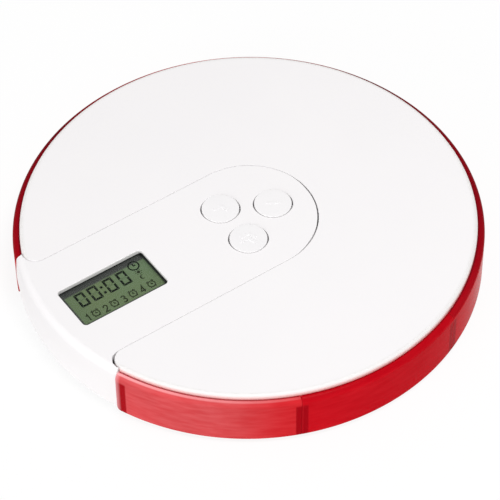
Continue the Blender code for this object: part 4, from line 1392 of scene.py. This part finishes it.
def addDisplay():
    low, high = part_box("lcd_glass")
    half = (high - low) / 2
    face = high.z
    middleHeight = (low.z + high.z) / 2
    edge, steps = display["edgeRound"], display["edgeSteps"]
    upperOutline = rectangle(windowMiddle, half.x, half.y)
    upper = loftedForm(upperOutline, plateLevels(middleHeight, face, 0, edge, steps))
    lowerOutline = rectangle(windowMiddle, half.x, half.y - display["ledge"])
    lower = loftedForm(lowerOutline, plateLevels(low.z, middleHeight, edge, 0, steps))
    finishPiece(newPiece("displayPlates", upper, lower), displayGreen, "display_glass", "case", "lcd_glass")

    levels = plateLevels(face, face + display["markThickness"], 0, 0)
    dark, soft, faint = [], [], []
    digit = (display[key] for key in ("digitWidth", "digitHeight", "digitStroke", "digitGap"))
    bars, centreBar = digitSegments(*digit)
    for start in display["digitStarts"]:
        for forms, bar in [(dark, bar) for bar in bars] + [(faint, centreBar)]:
            forms.append(movedForm(loftedForm(tidyOutline(bar), levels), (start, display["digitBase"], 0)))
    for height in display["colonHeights"]:
        size = display["colonSize"] / 2
        dark.append(loftedForm(rectangle((display["colonX"], height), size, size), levels))
    numeralHeight = display["numeralHeight"]
    for start, points in zip(display["numeralStarts"], numerals.values()):
        line = [(start + x * numeralHeight, display["numeralBase"] + y * numeralHeight) for x, y in points]
        soft.append(strokeForm(line, display["numeralStroke"], levels))
    for x in display["alarmCentres"]:
        centre = (x, display["alarmHeight"])
        soft += clockForms(centre, display["alarmRadius"], display["alarmStroke"], levels, alarm=True)
    dark += clockForms(display["clockCentre"], display["clockRadius"], display["clockStroke"], levels)
    soft += dayAndNightForms(levels)
    finishPiece(newPiece("displayMarks", *dark), markBlack, "display_glass", "case")
    finishPiece(newPiece("displaySoftMarks", *soft), markSoft, "display_glass", "case")
    finishPiece(newPiece("displayFaintBars", *faint), markFaint, "display_glass", "case")

    edge, corner = display["lensRound"], display["lensCorner"]
    lensHalf = (windowHigh - windowLow) / 2
    outline = rectangle(windowMiddle, lensHalf.x, lensHalf.y, corner, display["lensSteps"])
    lens = loftedForm(outline, plateLevels(windowLow.z, windowHigh.z, edge, edge, steps))
    finishPiece(newPiece("windowLens", lens), lensClear, "clear_lens", "case", "lcd_window")


addDisplay()
print("display made")


# Battery door: a plate and collar with three lugs, a coin slot, and a fine groove round it
door = {
    "radius": 0.0120,
    "plateThickness": 0.0016,
    "collarInner": 0.0088,
    "lugReach": 0.0016,
    "lugHalfAngle": math.radians(12),
    "lugCount": 3,
    "lugHeight": 0.0010,
    "slotHalfLength": 0.0062,
    "slotHalfWidth": 0.0009,
    "slotDepth": 0.0008,
    "edgeRound": 0.000125,
    "grooveRadius": 0.0096,
    "grooveWidth": 0.0004,
    "grooveDepth": 0.00025,
    "cornerSteps": 12,
    "steps": 128,
}


def addDoor():
    low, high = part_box("battery_door")
    plateTop = baseBottom + door["plateThickness"]
    radius, collar, steps = door["radius"], door["collarInner"], door["cornerSteps"]
    profile = [(0, plateTop), (collar, plateTop), (collar, high.z)]
    profile += [(radius, high.z), (radius, low.z), (0, low.z)]
    piece = newPiece("batteryDoorShell", turnedForm(profile, door["steps"]))
    for number in range(door["lugCount"]):
        bearing = rightAngle + fullTurn * number / door["lugCount"]
        start, end = bearing - door["lugHalfAngle"], bearing + door["lugHalfAngle"]
        lug = arcPoints(radius + door["lugReach"], start, end, steps)
        lug += arcPoints(radius - overcut, end, start, steps)
        levels = plateLevels(high.z - door["lugHeight"], high.z, 0, 0)
        joinTo(piece, loftedForm(tidyOutline(lug), levels))
    half = door["slotHalfWidth"]
    reach = door["slotHalfLength"] - half
    slot = arcPoints(half, -rightAngle, rightAngle, steps, (reach, 0))
    slot += arcPoints(half, rightAngle, 3 * rightAngle, steps, (-reach, 0))
    slotLevels = plateLevels(low.z - overcut, low.z + door["slotDepth"], 0, 0)
    cutFrom(piece, loftedForm(tidyOutline(slot), slotLevels))
    inner = door["grooveRadius"]
    outer = inner + door["grooveWidth"]
    top = low.z + door["grooveDepth"]
    groove = [(inner, top), (outer, top), (outer, low.z - overcut), (inner, low.z - overcut)]
    cutFrom(piece, turnedForm(groove, door["steps"]))
    softenEdges(piece, door["edgeRound"])
    finishPiece(piece, caseWhite, "white_plastic", "door", "battery_door")


# Feet, with a shallow dish in the face that stands on the table
foot = {
    "count": 4,
    "edgeRound": 0.0003,
    "roundSteps": 5,
    "dishRadius": 0.0028,
    "dishDepth": 0.00015,
    "steps": 64,
}


def addFeet():
    edge, dish, depth = foot["edgeRound"], foot["dishRadius"], foot["dishDepth"]
    for number in range(1, foot["count"] + 1):
        low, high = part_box(f"foot_{number}")
        middle = (low + high) / 2
        radius = (high.x - low.x) / 2
        profile = [(0, high.z), (radius, high.z)]
        profile += arcPoints(edge, 0, -rightAngle, foot["roundSteps"], (radius - edge, low.z + edge))
        profile += [(dish, low.z), (dish - depth, low.z + depth), (0, low.z + depth)]
        form = movedForm(turnedForm(profile, foot["steps"]), (middle.x, middle.y, 0))
        finishPiece(newPiece(f"footPad{number}", form), footRubber, "foot_rubber", "case", f"foot_{number}")


# Cover screws: pan head with a cross recess, threaded shank, point up
screw = {
    "shankRadius": 0.0009,
    "headRadius": 0.0019,
    "headHeight": 0.0013,
    "headRound": 0.0005,
    "roundSteps": 5,
    "threadDepth": 0.0002,
    "threadPitch": 0.0006,
    "crossHalfLength": 0.0011,
    "crossHalfWidth": 0.00024,
    "crossDepth": 0.0007,
    "steps": 40,
}


def screwForm():
    # Built with its head at the bottom, from height 0
    shank, head = screw["shankRadius"], screw["headRadius"]
    low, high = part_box("lid_screw_1")
    length = high.z - low.z
    core = shank - screw["threadDepth"]
    profile = [(0, length)]
    height = length - screw["threadPitch"]
    while height > screw["headHeight"] + screw["threadPitch"]:
        profile += [(core, height), (shank, height - screw["threadPitch"] / 2)]
        height -= screw["threadPitch"]
    profile += [(core, height), (core, screw["headHeight"]), (head, screw["headHeight"])]
    edge = screw["headRound"]
    profile += arcPoints(edge, 0, -rightAngle, screw["roundSteps"], (head - edge, edge))
    profile.append((0, 0))
    return turnedForm(profile, screw["steps"])


def addScrews():
    piece = newPiece("screwForm", screwForm())
    longHalf, shortHalf = screw["crossHalfLength"], screw["crossHalfWidth"]
    for x, y in ((longHalf, shortHalf), (shortHalf, longHalf)):
        cutFrom(piece, boxForm((-x, -y, -overcut), (x, y, screw["crossDepth"])))
    mesh = piece.data
    bpy.data.objects.remove(piece, do_unlink=True)
    places = [(kind, number + 1) for kind, count in coverScrews.items() for number in range(count)]
    for index, (kind, number) in enumerate(places):
        low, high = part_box(f"{kind}_screw_{number}")
        middle = (low + high) / 2
        copy = bpy.data.objects.new(f"{kind}CoverScrew{number}", mesh)
        copy.location = (middle.x, middle.y, low.z)
        copy.rotation_euler = (0, 0, index)
        bpy.context.scene.collection.objects.link(copy)
        finishPiece(copy, brightSteel, "steel", "case", f"{kind}_screw_{number}")


addDoor()
addFeet()
addScrews()
print("door, feet and screws made")


# Pieces whose shape in the frame is right, with their finish
carried = {
    caseWhite: ["base_shell"],
    blackPlastic: ["lcd_holder", "driver_chip", "buzzer", "switch_hour", "switch_minute", "switch_set"],
    buttonWhite: ["plunger_hour", "plunger_minute", "plunger_set"],
    stripRubber: ["lcd_connector_1", "lcd_connector_2"],
    greenLaminate: ["circuit_board"],
    springSteel: ["cell_spring", "cell_clip"],
    brightSteel: ["coin_cell", "timing_crystal", "board_screw_1", "board_screw_2"],
}
for material, names in carried.items():
    for name in names:
        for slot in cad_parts[name].material_slots:
            slot.material = material
print("finishes given to the rest of the frame")
